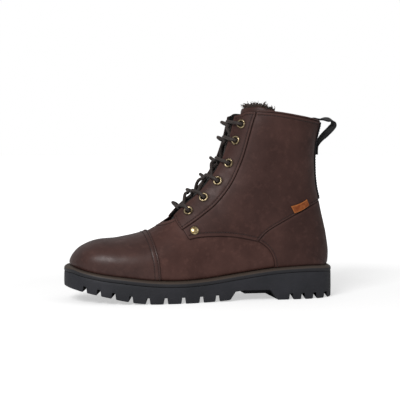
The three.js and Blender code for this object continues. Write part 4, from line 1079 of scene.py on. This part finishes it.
def sweep(points, across, up, section, scale=None):
    """Rings of a closed section carried along a line. section is (across, up) points, counterclockwise."""
    section = np.asarray(section, float)
    scale = (np.ones(len(points)) if scale is None else scale)[:, None, None]
    rings = (points[:, None] + across[:, None] * section[None, :, :1] * scale
             + up[:, None] * section[None, :, 1:] * scale)
    count, sides = len(points), len(section)
    quads, at = ring_quads(count, sides)
    caps = np.array([np.arange(sides)[::-1], (count - 1) * sides + np.arange(sides)])
    return rings.reshape(-1, 3), quads, caps, at


def sweep_uv(points, section, quads_at, threads_round, thread, caps):
    """The map of a swept piece in threads: round or across it, and along it. Its caps have none."""
    length = lengths_along(points) / thread
    section = np.asarray(section, float)
    ring = lengths_along(np.vstack([section, section[:1]]))
    ring = ring / ring[-1] * threads_round
    i, k = quads_at
    u = np.stack([ring[k], ring[k + 1], ring[k + 1], ring[k]], 1)
    v = np.stack([length[i], length[i], length[i + 1], length[i + 1]], 1)
    return np.vstack([np.stack([u, v], -1).reshape(-1, 2), np.zeros((caps.size, 2))])


def round_section(radius, sides):
    """A circle's points."""
    angle = np.linspace(0, 2 * np.pi, sides, endpoint=False)
    return np.stack([radius * np.cos(angle), radius * np.sin(angle)], -1)


def strap_section(width, thick):
    """A flat strap's section with rounded selvedges, counterclockwise."""
    half, r = width / 2, thick / 2
    right = [(half - r + r * math.cos(a), r * math.sin(a)) for a in np.linspace(-math.pi / 2, math.pi / 2, 7)]
    left = [(-x, -z) for x, z in right]
    top = [(x, r) for x in np.linspace(half - r, -half + r, 8)[1:-1]]
    low = [(x, -r) for x in np.linspace(-half + r, half - r, 8)[1:-1]]
    return right + top + left + low


def centripetal(points, per_piece):
    """A centripetal Catmull-Rom curve through points."""
    p = np.asarray(points, float)
    p = np.vstack([2 * p[0] - p[1], p, 2 * p[-1] - p[-2]])
    line = []
    for k in range(1, len(p) - 2):
        a, b, c, d = p[k - 1:k + 3]
        da, db, dc = (max(np.linalg.norm(q) ** 0.5, 1e-4) for q in (b - a, c - b, d - c))
        start = ((b - a) / da - (c - a) / (da + db) + (c - b) / db) * db
        end = ((c - b) / db - (d - b) / (db + dc) + (d - c) / dc) * db
        t = np.linspace(0, 1, per_piece, endpoint=False)[:, None]
        square, cube = 3 * (c - b) - 2 * start - end, 2 * (b - c) + start + end
        line.append(b + start * t + square * t ** 2 + cube * t ** 3)
    return np.vstack(line + [p[-2:-1]])


def even_line(points, step):
    """A line's points moved to an even step."""
    length = lengths_along(points)
    at = np.linspace(0, length[-1], max(2, int(round(length[-1] / step)) + 1))
    return np.stack([np.interp(at, length, points[:, k]) for k in range(3)], -1)


def turned(name, profile, spot, material, node_name, sides=40):
    """A piece turned round a spot's normal, from a closed profile of radius and height over the last."""
    normal = np.asarray(spot["normal"])
    across = unit(np.cross(normal, [0.0, 0.0, 1.0]))
    up = np.cross(normal, across)
    angle = np.linspace(0, 2 * np.pi, sides, endpoint=False)
    profile = np.asarray(profile, float)
    ring = np.cos(angle)[:, None] * across + np.sin(angle)[:, None] * up
    points = spot["point"] + ring[:, None] * profile[None, :, :1] + normal * profile[None, :, 1:]
    quads, _ = ring_quads(sides, len(profile), closed=True)
    points = points.reshape(-1, 3)
    kept, triangles = weld(points, np.concatenate([quads[:, [0, 3, 2]], quads[:, [0, 2, 1]]]))
    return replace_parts(make(name, points[kept], triangles, material, smooth=42), node_name)


def arc(centre, radius, start, end, count=6):
    """Points of an arc in a profile, angles in degrees."""
    angle = np.radians(np.linspace(start, end, count))
    return [(centre[0] + radius * math.cos(a), centre[1] + radius * math.sin(a)) for a in angle]


# ---------------------------------------------------------------- eyelets and rivets


def eyelet_profile():
    """A rolled eyelet: its barrel, the washer behind the lining and the rounded flange outside."""
    low, high = -FACING_LINING - 0.9, OVERLAY_OUT + 0.25
    return [(EYELET_BORE, low - 0.6), (4.2, low - 0.5), (4.3, low), (EYELET_BARREL, low),
            (EYELET_BARREL, high), (EYELET_FLANGE, high),
            *arc((EYELET_FLANGE - 0.45, high + 0.45), 0.45, -30, 80, 5),
            *arc((4.15, high + 0.5), 0.75, 75, 105, 4),
            *arc((EYELET_BORE + 0.55, high + 0.25), 0.72, 95, 180, 6)]


def rivet_profile():
    """A rivet with a washer inside and a domed cap outside."""
    low, high = -LEATHER - 1.1, OVERLAY_OUT + 0.2
    return [(0, low - 0.6), (3.2, low - 0.6), (3.4, low - 0.4), (3.4, low), (RIVET_POST, low),
            (RIVET_POST, high), (RIVET_CAP, high), *arc((RIVET_CAP - 0.15, high + 0.35), 0.35, -60, 70, 4),
            (3.5, high + 1.15), (2.5, high + 1.55), (1.3, high + 1.8), (0, high + 1.88)]


for side_name, sign, index in SIDES:
    for number, spot in enumerate(SPOTS[index], 1):
        place = f"{side_name}_{number}"
        turned(f"eyelet_ring_{place}", eyelet_profile(), spot, BRASS, f"eyelet_{place}")
    turned(f"rivet_cap_{side_name}", rivet_profile(), RIVET_SPOTS[index], BRIGHT_BRASS, f"rivet_{side_name}")

# ---------------------------------------------------------------- lace

TONGUE_THICK, TONGUE_FLEECE, TONGUE_TOP_DEPTH, FOLD_HEIGHT = 2.2, 3.0, 14.5, 204.5


def wing(u):
    """How far round the last the tongue reaches on each side, in v."""
    return lerp(0.2, 0.45, ease(u, 7, 21))


def tongue_depth(u, v):
    """How deep the tongue's face lies under the last's skin."""
    side = np.abs(v)
    low = 6.2 + 1.3 * ease(side, 0.02, 0.13) + 4 * ease(side, 0.31, 0.39)
    return lerp(low, TONGUE_TOP_DEPTH, ease(u, 16.5, 21.4))


UNDER, OVER, TAIL_DEPTH = -5, 5.4, -5
CLIMB, SLACK_DEPTH, EDGE_SHARE, BAR_LIFT = 2 * LACE_RADIUS + 1.4, 6.4, 0.118, 3.4
RISE_SHARE, SAG, LOW_BEND, HIGH_BEND = 0.7, 0.15, (0.35, 1), (0.15, 0.8)
RUN_POINTS = 7


def through_eyelet(spot, away):
    """Points of the lace over a facing, down through an eyelet and away under it."""
    steps = [(5.6, OVER - 0.2), (2.9, OVER), (1, OVER - 0.7), (0.05, 3.2), (0, 0.8), (0, -2),
             (0.8, UNDER + 0.8), (2.8, UNDER), (5.6, UNDER)]
    return [spot["point"] + away * out + spot["normal"] * height for out, height in steps]


def towards(spot, target):
    """The way along the last's skin from a spot to a target."""
    way = target - spot["point"]
    return unit(way - spot["normal"] * (way @ spot["normal"]))


def over_tongue(start, end, start_height, lift, end_height):
    """Points of a run over the tongue between two places given as u and v, higher in the middle by lift."""
    points = []
    for t in np.linspace(0, 1, RUN_POINTS + 2)[1:-1]:
        aside = abs(2 * t - 1)
        share = 1 - ease(aside, *(LOW_BEND if t < 0.5 else HIGH_BEND))
        u = lerp(start[0], end[0], ease(t, 0, RISE_SHARE)) - SAG * share
        v = lerp(start[1], end[1], t)
        rest = -min(tongue_depth(u, v) - LACE_RADIUS - 0.5, SLACK_DEPTH)
        height = lerp(start_height if t < 0.5 else end_height, rest, share) + lift * (1 - ease(aside, 0, 0.6))
        points.append(skin(u, v if abs(v) > 1e-3 else 1e-3, height))
    return points


def gap_edge(spot):
    """Where a run passes a facing's edge on its way from an eyelet."""
    return spot["u"], math.copysign(EDGE_SHARE, spot["v"])


def lace_half(side):
    """From the middle of the bottom bar, in and out of one eyelet after another, to the top."""
    here, points = side, []
    for level in range(len(EYELETS) - 1, 0, -1):
        spot, across, following = SPOTS[here][level], SPOTS[1 - here][level], SPOTS[1 - here][level - 1]
        points += through_eyelet(spot, towards(spot, across["point"]))
        lift = 0 if (here == 0) == (level % 2 == 0) else CLIMB
        points += over_tongue(gap_edge(spot), gap_edge(following), UNDER, lift, OVER)
        here = 1 - here
    top = SPOTS[here][0]
    points += through_eyelet(top, towards(top, SPOTS[1 - here][0]["point"]))[:6]
    return points, here


def lace_tail(side):
    """The end that turns back inside the top eyelet and lies down the channel behind the eyelets."""
    top, second, third = SPOTS[side][:3]
    sign = -1 if side == 0 else 1

    def at(u, v, depth=TAIL_DEPTH):
        return skin(u, sign * v, depth)

    def back(spot):
        return abs(spot["v"]) + 0.075

    return [at(top["u"], abs(top["v"]) + 0.012), at(top["u"], abs(top["v"]) + 0.055),
            at(top["u"] - 0.35, back(top)), at(lerp(top["u"], second["u"], 0.6), back(top) + 0.003),
            at(second["u"], back(second)), at(lerp(second["u"], third["u"], 0.5), back(second) + 0.003),
            at(third["u"] + 0.1, back(third), TAIL_DEPTH + 0.1)]


LACE_STEP = 0.62
LACE_THREADS, LACE_THREAD = 8, 1.15
AGLET_STEPS = np.array([0, 0.15, 0.9, 4, 10, 17, 19.4, 19.9, 20.0])
AGLET_RADII = np.array([1.55, 1.68, 1.7, 1.62, 1.55, 1.45, 1.35, 1.0, 0.5])


def build_lace():
    """One lace from aglet to aglet: both tails, both halves and the bar that joins them at the bottom."""
    (first, first_side), (second, second_side) = lace_half(0), lace_half(1)
    tails = [lace_tail(first_side), lace_tail(second_side)]
    bar = over_tongue(gap_edge(SPOTS[0][-1]), gap_edge(SPOTS[1][-1]), OVER, BAR_LIFT, OVER)
    line = even_line(centripetal((first + tails[0])[::-1] + bar + second + tails[1], 12), LACE_STEP)
    section = round_section(LACE_RADIUS - 0.08, 14)
    _, across, up = frames_along(line)
    points, quads, caps, at = sweep(line, across, up, section)
    uv = sweep_uv(line, section, at, LACE_THREADS, LACE_THREAD, caps)
    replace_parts(make("lace_cord", points, [quads, caps], LACE_LOOK, uv=uv, smooth=60), "lace")
    for number, tail in enumerate(tails, 1):
        line = tail[-1] + unit(tail[-1] - tail[-2]) * (GAP + AGLET_STEPS)[:, None]
        _, across, up = frames_along(line)
        points, quads, caps, _ = sweep(line, across, up, round_section(1, 16), AGLET_RADII)
        made = make(f"aglet_tip_{number}", points, [quads, caps], TIP, smooth=50)
        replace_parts(made, f"aglet_{number}")


build_lace()

# ---------------------------------------------------------------- tongue


def section_where(below, v, start):
    """Section numbers, from start up, where the last stops being below something. below takes points."""
    low, high = np.full(v.shape, float(start)), np.full(v.shape, float(LAST_END))
    for _ in range(40):
        middle = (low + high) / 2
        under = below(last_point(middle, v))
        low, high = np.where(under, middle, low), np.where(under, high, middle)
    return (low + high) / 2


def section_at_height(z, v):
    z, v = np.broadcast_arrays(np.asarray(z, float), np.asarray(v, float))
    return section_where(lambda points: points[..., 2] < z, v, 8)


def tongue_place(low, high, share, across):
    """The u and v at shares of the tongue's length and half width, between ends given as functions of v."""
    v = across * wing(lerp(low(0.1), high(0.1), share))
    return lerp(low(v), high(v), share), v


def slab(name, low, high, steps, depth, thick, material, node_name, swell=None, lumps=None,
         round_top=True, body="boot"):
    """A slab of tongue. swell(share, across) is added outwards on its face, lumps(points) on its back."""
    share, across = grid(*(np.linspace(start, 1, count) for start, count in zip((0, -1), steps)))
    across = np.where(np.abs(across) < 1e-6, 1e-6, across)
    u, v = tongue_place(low, high, share, across)
    length = np.linalg.norm(skin(high(0.1), 0.1, 0) - skin(low(0.1), 0.1, 0))
    rim = np.minimum((1 - np.abs(across)) * max(np.abs(v).max() * 120, 1), share * length)
    if round_top:
        rim = np.minimum(rim, (1 - share) * length)
    radius = min(thick * 0.48, 1.6)
    pull = radius * rounding(rim, radius)
    face = tongue_depth(u, v) + depth
    outer = skin(u, v, -face - pull + (swell(share, across) if swell else 0))
    inner = skin(u, v, -face - thick + pull)
    if lumps is not None:
        inner = inner - last_normal(u, v) * (lumps(inner) * np.clip(rim / 2.5, 0, 1))[:, None]
    shell = closed_faces(grid_faces(*steps), len(outer))
    made = make(name, np.concatenate([outer, inner]), shell, material, smooth=60, body=body)
    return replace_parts(made, node_name)


def tongue_root(v):
    """Where the tongue starts, in u."""
    return 6.8 + 2 * np.abs(v)


def fold_at(shift):
    """The fold of the tongue, moved up by a shift."""
    return lambda v: section_at_height(FOLD_HEIGHT + shift, v)


def arch(height, fall):
    """An end of the tongue that falls towards its sides."""
    return lambda v: section_at_height(height - fall * ease(np.abs(v), 0.28, 0.45), v)


def blend_at_fold(piece):
    """Bakes a piece's transform into its mesh and returns the piece."""
    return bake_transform(piece)


slab("tongue_cloth", tongue_root, fold_at(-GAP / 2), (110, 61), 0, TONGUE_THICK, CLOTH,
     "tongue", round_top=False)
slab("tongue_pile", lambda v: tongue_root(v) + 0.9, fold_at(-GAP / 2), (100, 61), TONGUE_THICK + GAP,
     TONGUE_FLEECE, LINING_FLEECE, "tongue_lining", lumps=fleece_lumps(3.2, 0.9), round_top=False)
blend_at_fold(slab(
    "tongue_top_leather", fold_at(GAP / 2), arch(213, 5), (16, 81), 0, TONGUE_THICK, BROWN,
    "tongue_top", swell=lambda share, across: 0.9 * np.sin(np.pi * np.clip(share, 0, 1)) ** 0.8, body=None))
blend_at_fold(slab(
    "tongue_top_pile", fold_at(GAP / 2), arch(216, 9), (18, 81), TONGUE_THICK + GAP, TONGUE_FLEECE + 1, FUR,
    "tongue_top_lining", lumps=fleece_lumps(3.0, 0.8), body=None))

# ---------------------------------------------------------------- linings and stiffeners

LINING_SPLIT = [[8, 10], [8, 60], [-2, 72], [-20, 80]]
PILE = fleece_lumps(3.2, 0.8)
VAMP_LINING_OUTLINE = outline_of(
    [-160, 10], np.array(LINING_SPLIT) - [GAP, 0], [-40, 70], [-54, 75], [-66, 100], [-160, 100])
QUARTER_LINING_OUTLINE = outline_of(
    [160, 10], LINING_SPLIT[:3], where(reverse(curve(FACING_SEAM, move=8)), low_x=-12, low_z=84, high_z=204),
    where(COLLAR_LINE, low_x=62))
THROAT_OPENING = np.array([[-70, 80], [-70, 240], [40, 240], [40, 170], [-10, 110], [-20, 80]], float)
VAMP_BLOCK = outline_of(
    [-90, 0], [-58, 100], where(curve(THROAT, move=GAP), low_x=-50), [-10, 80 + GAP], [30, 80], [30, 0])
FACING_LINING_OUTLINE = outline_of(
    where(FACING_OUTLINE, high_z=230, low_z=77)[:-60], where(reverse(curve(FACING_SEAM, move=5)), high_z=204))


def clear_of_throat(points):
    """Distance outside the opening that the tongue fills."""
    return np.maximum(-outline_distance(points[:, [0, 2]], THROAT_OPENING), np.abs(points[:, 1]) - 20)


def clear_of_vamp(points):
    """Distance outside the vamp in the side view."""
    return -outline_distance(points[:, [0, 2]], VAMP_BLOCK)


panel("vamp_lining", VAMP_LINING_OUTLINE, LINING_OUT, LINING_IN, LINING_FLEECE, tuck=0.2,
      rough_inside=PILE, kind="fleece", holes=[(spot["point"], 4.2) for spot in RIVET_SPOTS])
panel("quarter_lining", QUARTER_LINING_OUTLINE, LINING_OUT, LINING_IN, LINING_FLEECE, tuck=0.2,
      limits=[clear_of_throat], rough_inside=PILE, kind="fleece")
panel("toe_puff", outline_of([-160, 10], [-160, 95], curve(CAP_SEAM, move=-12 - GAP)), 0, -LEATHER, STIFF,
      kind="board")
COUNTER_OUTLINE = outline_of(
    [160, 10], reverse(curve(VAMP_END, move=13 + GAP))[:-12], [78, 68], [100, 80], [160, 92])
panel("heel_counter", COUNTER_OUTLINE, 0, -LEATHER, STIFF, kind="board")
for side_name, sign, index in SIDES:
    panel(f"facing_lining_{side_name}", FACING_LINING_OUTLINE, 0, -FACING_LINING, CLOTH,
          side=sign, limits=[in_front_of_throat, clear_of_vamp], kind="cloth",
          holes=[(spot["point"], EYELET_FLANGE - 0.3) for spot in SPOTS[index]])


def dress(node_name, material):
    """Gives a CAD node that stays as it is its material."""
    mesh = frame["nodes"][node_name].data
    mesh.materials.clear()
    mesh.materials.append(material)


dress("insole_board", FIBRE)
dress("midsole_filler", CORK)
dress("shank", STEEL)

# ---------------------------------------------------------------- collar binding

BINDING_HIGH = 1.2
BINDING_OUT = OVERLAY_OUT + 0.15


def collar_height(points):
    """The collar line's height at the points."""
    return np.interp(points[..., 0], COLLAR_LINE[:, 0], COLLAR_LINE[:, 1])


def collar_ring():
    """The collar line from where the outer facing is sewn to the quarter, round the heel to the inner one,
    with the last's normals.
    """
    v = np.linspace(0.12, 1, 240)
    u = section_where(lambda points: points[:, 2] < collar_height(points), v, FIRST_CLOSED)
    halves = []
    for sign in (-1, 1):
        line = np.column_stack([skin(u, sign * v, 0), last_normal(u, sign * v)])
        halves.append(line[line[:, 0] > SEAM_TOP[0]])
    ring = np.concatenate([halves[0], halves[1][::-1][1:]])
    return ring[:, POINT], ring[:, NORMAL]


def build_binding():
    """A soft leather roll over the collar's edge, from the quarters' outside to the fleece's inside."""
    ring, normal = collar_ring()
    middle, half = (BINDING_OUT + LINING_IN) / 2, (BINDING_OUT - LINING_IN) / 2
    section = [(OVERLAY_OUT + 0.1, GAP)]
    for angle in np.linspace(0, math.pi, 15):
        out = half * math.copysign(abs(math.cos(angle)) ** 0.5, math.cos(angle))
        section.append((middle + out, GAP + 0.55 + BINDING_HIGH * math.sin(angle) ** 0.7))
    section = np.array(section + [(LINING_IN, GAP)])
    rings = ring[:, None] + normal[:, None] * section[None, :, :1]
    rings[..., 2] = collar_height(rings) + section[None, :, 1]
    count, sides = rings.shape[:2]
    quads, _ = ring_quads(count, sides)
    around = np.arange(sides)
    caps = np.array([around, (count - 1) * sides + around[::-1]])
    lightened = np.tile(np.interp(around, [0, 2, sides / 2, sides - 3, sides - 1], [0, 1, 0.4, 0.6, 0]), count)
    made = make("collar_binding_leather", rings.reshape(-1, 3), [quads[:, [0, 3, 2, 1]], caps], BROWN,
                smooth=60, marks={"lightened": lightened, "dark_edge_and_painted_shade": np.zeros(len(lightened))})
    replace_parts(made, "collar_binding")


build_binding()

# ---------------------------------------------------------------- backstay, pull loop and side tag

WEBBING_THREAD = 0.9


def behind_edge(points):
    """Distance inside the backstay's long edges."""
    return BACKSTAY_HALF - np.abs(points[:, 1])


panel("backstay", [[100, 107.9], [160, 109.6], [160, 192.5], [100, 200]], OVERLAY_OUT + GAP + BACKSTAY_THICK,
      OVERLAY_OUT + GAP, WEBBING, limits=[behind_edge], rows=[(behind_edge, 1.9)],
      kind="webbing", thread=CLOTH, map_of=lambda points: points[:, [1, 2]] / WEBBING_THREAD)

LOOP_FOOT = [[133.1, 159], [133.1, 164], [133.7, 168.6]]
LOOP_BOW = [[135.5, 171.4], [139.6, 176.6], [145.8, 183], [151.6, 188.8], [154.4, 193], [153.9, 196.6],
            [150.4, 198.6], [145.4, 198.7], [141.8, 198.6]]
LOOP_HEAD = [[139, 198.6], [134, 198.9], [128.4, 199.8], [124.2, 197.9], [122, 191], [121, 183]]
LOOP_ROLL = math.radians(15)


def build_loop():
    """One length of webbing: sewn to the boot's back, out in a bow and back over the collar into the boot."""
    path = [[x, 0, z] for x, z in LOOP_FOOT + LOOP_BOW + LOOP_HEAD]
    line = even_line(centripetal(path, 12), 0.8)
    tangent = unit(np.gradient(line, axis=0))
    ends = [[x, 0, z] for x, z in (LOOP_BOW[0], LOOP_HEAD[0])]
    foot, head = (np.linalg.norm(line - end, axis=1).argmin() for end in ends)
    share = (np.arange(len(line)) - foot) / (head - foot)
    roll = LOOP_ROLL * ease(share, 0, 0.3) * (1 - ease(share, 0.84, 1.03))
    across = np.stack([np.zeros(len(line)), np.cos(roll), np.sin(roll)], -1)
    across = unit(across - tangent * (across * tangent).sum(1)[:, None])
    section = strap_section(LOOP_WIDTH, LOOP_THICK)
    points, quads, caps, at = sweep(line, across, np.cross(tangent, across), section)
    uv = sweep_uv(line, section, at, 2 * LOOP_WIDTH / WEBBING_THREAD, WEBBING_THREAD, caps)
    strap = make("pull_loop_webbing", points, [quads, caps], WEBBING, uv=uv, smooth=50,
                 body=None)
    place, way = joint_line("pull_loop_sway")
    out = way.cross(Vector((0, 1, 0))).normalized()
    out = out if out.x > 0 else -out
    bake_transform(strap)
    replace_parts(strap, "loop_foot", "pull_loop", "loop_head")


build_loop()

HINGE_ROOM = 0.06
TAG_THICK, TAG_HEIGHT, TAG_EDGE, TAG_ROUNDING = 1.2, 8.6, 0.6, 0.45
TAG_ROW = 2.2


def build_tag():
    """A small leather tab sewn along its hinge edge, TAG's first two corners."""
    u, v = locate(TAG, -1)
    rows, columns = 45, 25
    a, b = grid(np.linspace(0, 1, rows), np.linspace(0, 1, columns))
    up = lerp(HINGE_ROOM, 1, b)
    spot_u, spot_v = (lerp(lerp(w[0], w[1], a), lerp(w[3], w[2], a), up) for w in (u, v))
    wide = math.dist(TAG[0], TAG[1])
    edge = np.minimum(np.minimum(a, 1 - a) * wide, np.minimum(b, 1 - b) * TAG_HEIGHT)
    pull = TAG_ROUNDING * rounding(edge, TAG_EDGE)
    row = np.exp(-((a * wide - TAG_ROW) / 0.35) ** 2) * np.clip(edge - 0.8, 0, 1)
    low = OVERLAY_OUT + 0.5
    outer = skin(spot_u, spot_v, low + TAG_THICK - pull - 0.25 * row)
    inner = skin(spot_u, spot_v, low + pull)
    # The stitch row's groove gets painted shade; the edges and the row are made lighter.
    lightened = np.exp(-(edge / 0.9) ** 2) + 0.5 * row
    marks = {"dark_edge_and_painted_shade": np.r_[0.35 * row, 0 * row], "lightened": np.r_[lightened * 2.2, lightened]}
    shell = closed_faces(grid_faces(rows, columns), len(outer))
    made = make("side_tag_leather", np.concatenate([outer, inner]), shell, TAN, marks=marks,
                smooth=50, body="side_tag")
    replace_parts(made, "side_tag")


build_tag()

# ---------------------------------------------------------------- footbed

FOOTBED_ROUND = 1.4
FOOTBED_ROOM = 5.1


def build_footbed():
    """A moulded foam footbed with fleece on top: dished, rounded at its rim."""
    rim = moved_loop(LINING_IN - FOOTBED_ROOM - FOOTBED_ROUND)
    plan, faces = plan_sheet(rim, columns=170, rows=50)
    inset = outline_distance(plan, rim[::2])
    low = feather_height(plan[:, 0]) - WELT_DROP + GAP
    dish = 0.5 * np.clip(1 - inset / 6, 0, 1) - 0.5 * ease(inset, 6, 26)
    lumps = fleece_lumps(3.0, 0.35)(np.column_stack([plan, low]))
    high = low + FOOTBED_HEIGHT + dish + lumps * np.clip(inset / 2, 0, 1) - 0.3
    wall = [(FOOTBED_ROUND * 0.6, 0, 0.2), (FOOTBED_ROUND, 0.15, 0.2), (FOOTBED_ROUND, 0.5, 0),
            (FOOTBED_ROUND * 0.85, 0.8, 0), (FOOTBED_ROUND * 0.45, 0.96, 0)]
    points, faces = plan_solid(plan, oriented(plan, faces), low, high, wall)
    made = make("footbed_foam", points, faces, LINING_FLEECE, smooth=60, body="footbed")
    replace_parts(made, "footbed")


build_footbed()

# ---------------------------------------------------------------- locks of fleece

LOCK_SIDES, LOCK_STEPS = 4, 6


def locks(name, roots, ways, material, length, radius, curl, seed, body="boot"):
    """Curly locks of pile: tapered strands that start at the roots along ways and curl over to one side."""
    chance = np.random.default_rng(seed)
    count = len(roots)
    ways = unit(ways)
    aside = unit(np.cross(ways, chance.normal(size=(count, 3))))
    long = (length * chance.uniform(0.65, 1.25, count))[:, None]
    bend = (curl * chance.uniform(0.5, 1.3, count))[:, None]
    thick = radius * chance.uniform(0.7, 1.3, count)
    t = np.linspace(0, 1, LOCK_STEPS + 1)
    turn = bend * t[None]
    line = (roots[:, None] + ways[:, None] * (long * np.sin(turn) / bend)[..., None]
            + aside[:, None] * (long * (1 - np.cos(turn)) / bend)[..., None])
    along = ways[:, None] * np.cos(turn)[..., None] + aside[:, None] * np.sin(turn)[..., None]
    across = np.broadcast_to(np.cross(ways, aside)[:, None], along.shape)
    up = np.cross(along, across)
    angle = np.linspace(0, 2 * np.pi, LOCK_SIDES, endpoint=False)
    taper = thick[:, None] * (1 - 0.72 * t[None] ** 1.5)
    ring = across[:, :, None] * np.cos(angle)[:, None] + up[:, :, None] * np.sin(angle)[:, None]
    points = (line[:, :, None] + taper[..., None, None] * ring).reshape(-1, 3)
    quads, _ = ring_quads(LOCK_STEPS + 1, LOCK_SIDES)
    around = np.arange(LOCK_SIDES)
    caps = np.array([around[::-1], LOCK_STEPS * LOCK_SIDES + around])
    shift = np.arange(count)[:, None, None] * (LOCK_STEPS + 1) * LOCK_SIDES
    faces = (np.concatenate([quads, caps])[None] + shift).reshape(-1, 4)
    return make(name, points, faces, material, smooth=60, body=body)


TONGUE_LOCKS, COLLAR_LOCKS = 760, 2400


def tongue_top_locks():
    """Locks over the back and the end of the tongue top."""
    chance = np.random.default_rng(11)
    count = TONGUE_LOCKS
    low, high = fold_at(GAP), arch(214.5, 7.5)
    share = chance.uniform(0.35, 1, count) ** 0.5
    u, v = tongue_place(low, high, share, chance.uniform(-0.98, 0.98, count))
    deep = TONGUE_THICK + GAP + chance.uniform(0.3, 3.4, count)
    roots = skin(u, v, -tongue_depth(u, v) - deep)
    normal = last_normal(u, v)
    upward = unit(skin(u + 0.3, v, 0) - skin(u, v, 0))
    lean = np.where(share > 0.9, chance.uniform(-0.7, 0.55, count), chance.uniform(-1.6, -0.6, count))
    ways = upward * chance.uniform(0.5, 1, count)[:, None] + normal * lean[:, None]
    ways = ways + chance.normal(0, 0.25, (count, 3))
    tufts = locks("tongue_top_fur", roots, ways, FUR, length=6.8, radius=0.66, curl=2.9, seed=5, body=None)
    blend_at_fold(tufts)


def collar_locks():
    """Locks all over the lining near the collar, on both sides of the shaft."""
    chance = np.random.default_rng(12)
    side = chance.choice([-1, 1], COLLAR_LOCKS)
    v = chance.uniform(0.2, 1, COLLAR_LOCKS) * side
    u = section_at_height(chance.uniform(140, 200, COLLAR_LOCKS), v)
    spot = skin(u, v, 0)
    x, _, z = spot.T
    kept = (z < collar_height(spot) - 1.5) & (clear_of_throat(spot) > 1) & (x > 44 + 0.28 * (z - 165))
    u, v = u[kept], v[kept]
    normal = last_normal(u, v)
    roots = skin(u, v, LINING_IN + 0.7)
    ways = -normal + chance.normal(0, 0.7, roots.shape)
    locks("collar_fur", roots, ways, LINING_FLEECE, length=4.2, radius=0.7, curl=3.6, seed=6)


tongue_top_locks()
collar_locks()

# ---------------------------------------------------------------- stage

LENS, SENSOR = 97.9, 36
LOOK_AT = Vector((SHIFT[0], SHIFT[1], 0.1085))
CAMERA_PLACE = Vector((-0.2309 + SHIFT[0], -1.1878 + SHIFT[1], 0.160))
camera = linked(bpy.data.objects.new("camera", bpy.data.cameras.new("camera")))
camera.data.lens = LENS
camera.data.sensor_width = SENSOR
camera.location = CAMERA_PLACE
camera.rotation_euler = (LOOK_AT - CAMERA_PLACE).to_track_quat("-Z", "Y").to_euler()
bpy.context.scene.camera = camera


def seen(tree):
    """1 where the camera looks, 0 for light that bounces."""
    return add_node(tree, "ShaderNodeLightPath")


# The floor glows to the camera only, less so close to the boot, where the photo's floor is darker.
FLOOR_HALF = 60
GLOW = {"low": 0.25, "high": 1.1, "start": 0.51, "end": 1.0}
floor_mesh = bpy.data.meshes.new("floor")
floor_corners = [(x * FLOOR_HALF, y * FLOOR_HALF, 0) for x, y in ((-1, -1), (1, -1), (1, 1), (-1, 1))]
floor_mesh.from_pydata(floor_corners, [], [(0, 1, 2, 3)])
floor = linked(bpy.data.objects.new("floor", floor_mesh))
floor_look = Look("pale_floor", Roughness=0.9, Base_Color=(0.8, 0.8, 0.8, 1), Emission_Color=(1, 1, 1, 1))
distance = floor_look.node("ShaderNodeVectorMath", out=1, set_operation="LENGTH", i0=floor_look.place)
glow = floor_look.times(seen(floor_look.tree), floor_look.ramp(distance, **GLOW))
floor_look.tree.links.new(glow, floor_look.shader.inputs["Emission Strength"])
floor_mesh.materials.append(floor_look.material)

# The sky that lights the boot is dimmer than the white that the camera sees.
DOME = 0.33
world = bpy.data.worlds.new("world")
world.use_nodes = True
sky = world.node_tree.nodes["Background"].inputs
sky[0].default_value = (1, 1, 1, 1)
light = add_node(world.node_tree, "ShaderNodeMapRange", Value=seen(world.node_tree), To_Min=DOME, To_Max=1.0)
world.node_tree.links.new(light, sky[1])
bpy.context.scene.world = world
bpy.context.scene.view_settings.view_transform = "Standard"


def softbox(name, place, target, size, power):
    """A large area light. Places and sizes are in metres, power in watts."""
    lamp = bpy.data.lights.new(name, "AREA")
    lamp.shape = "RECTANGLE"
    lamp.size, lamp.size_y = size
    lamp.energy = power
    holder = linked(bpy.data.objects.new(name, lamp))
    holder.location = place
    holder.rotation_euler = (Vector(target) - Vector(place)).to_track_quat("-Z", "Y").to_euler()


softbox("key", (-0.9, -1.3, 1.1), (-0.05, 0, 0.08), (0.8, 0.6), 20)
softbox("side", (1.3, -1.0, 0.9), (0.05, 0, 0.1), (0.8, 0.8), 1.5)
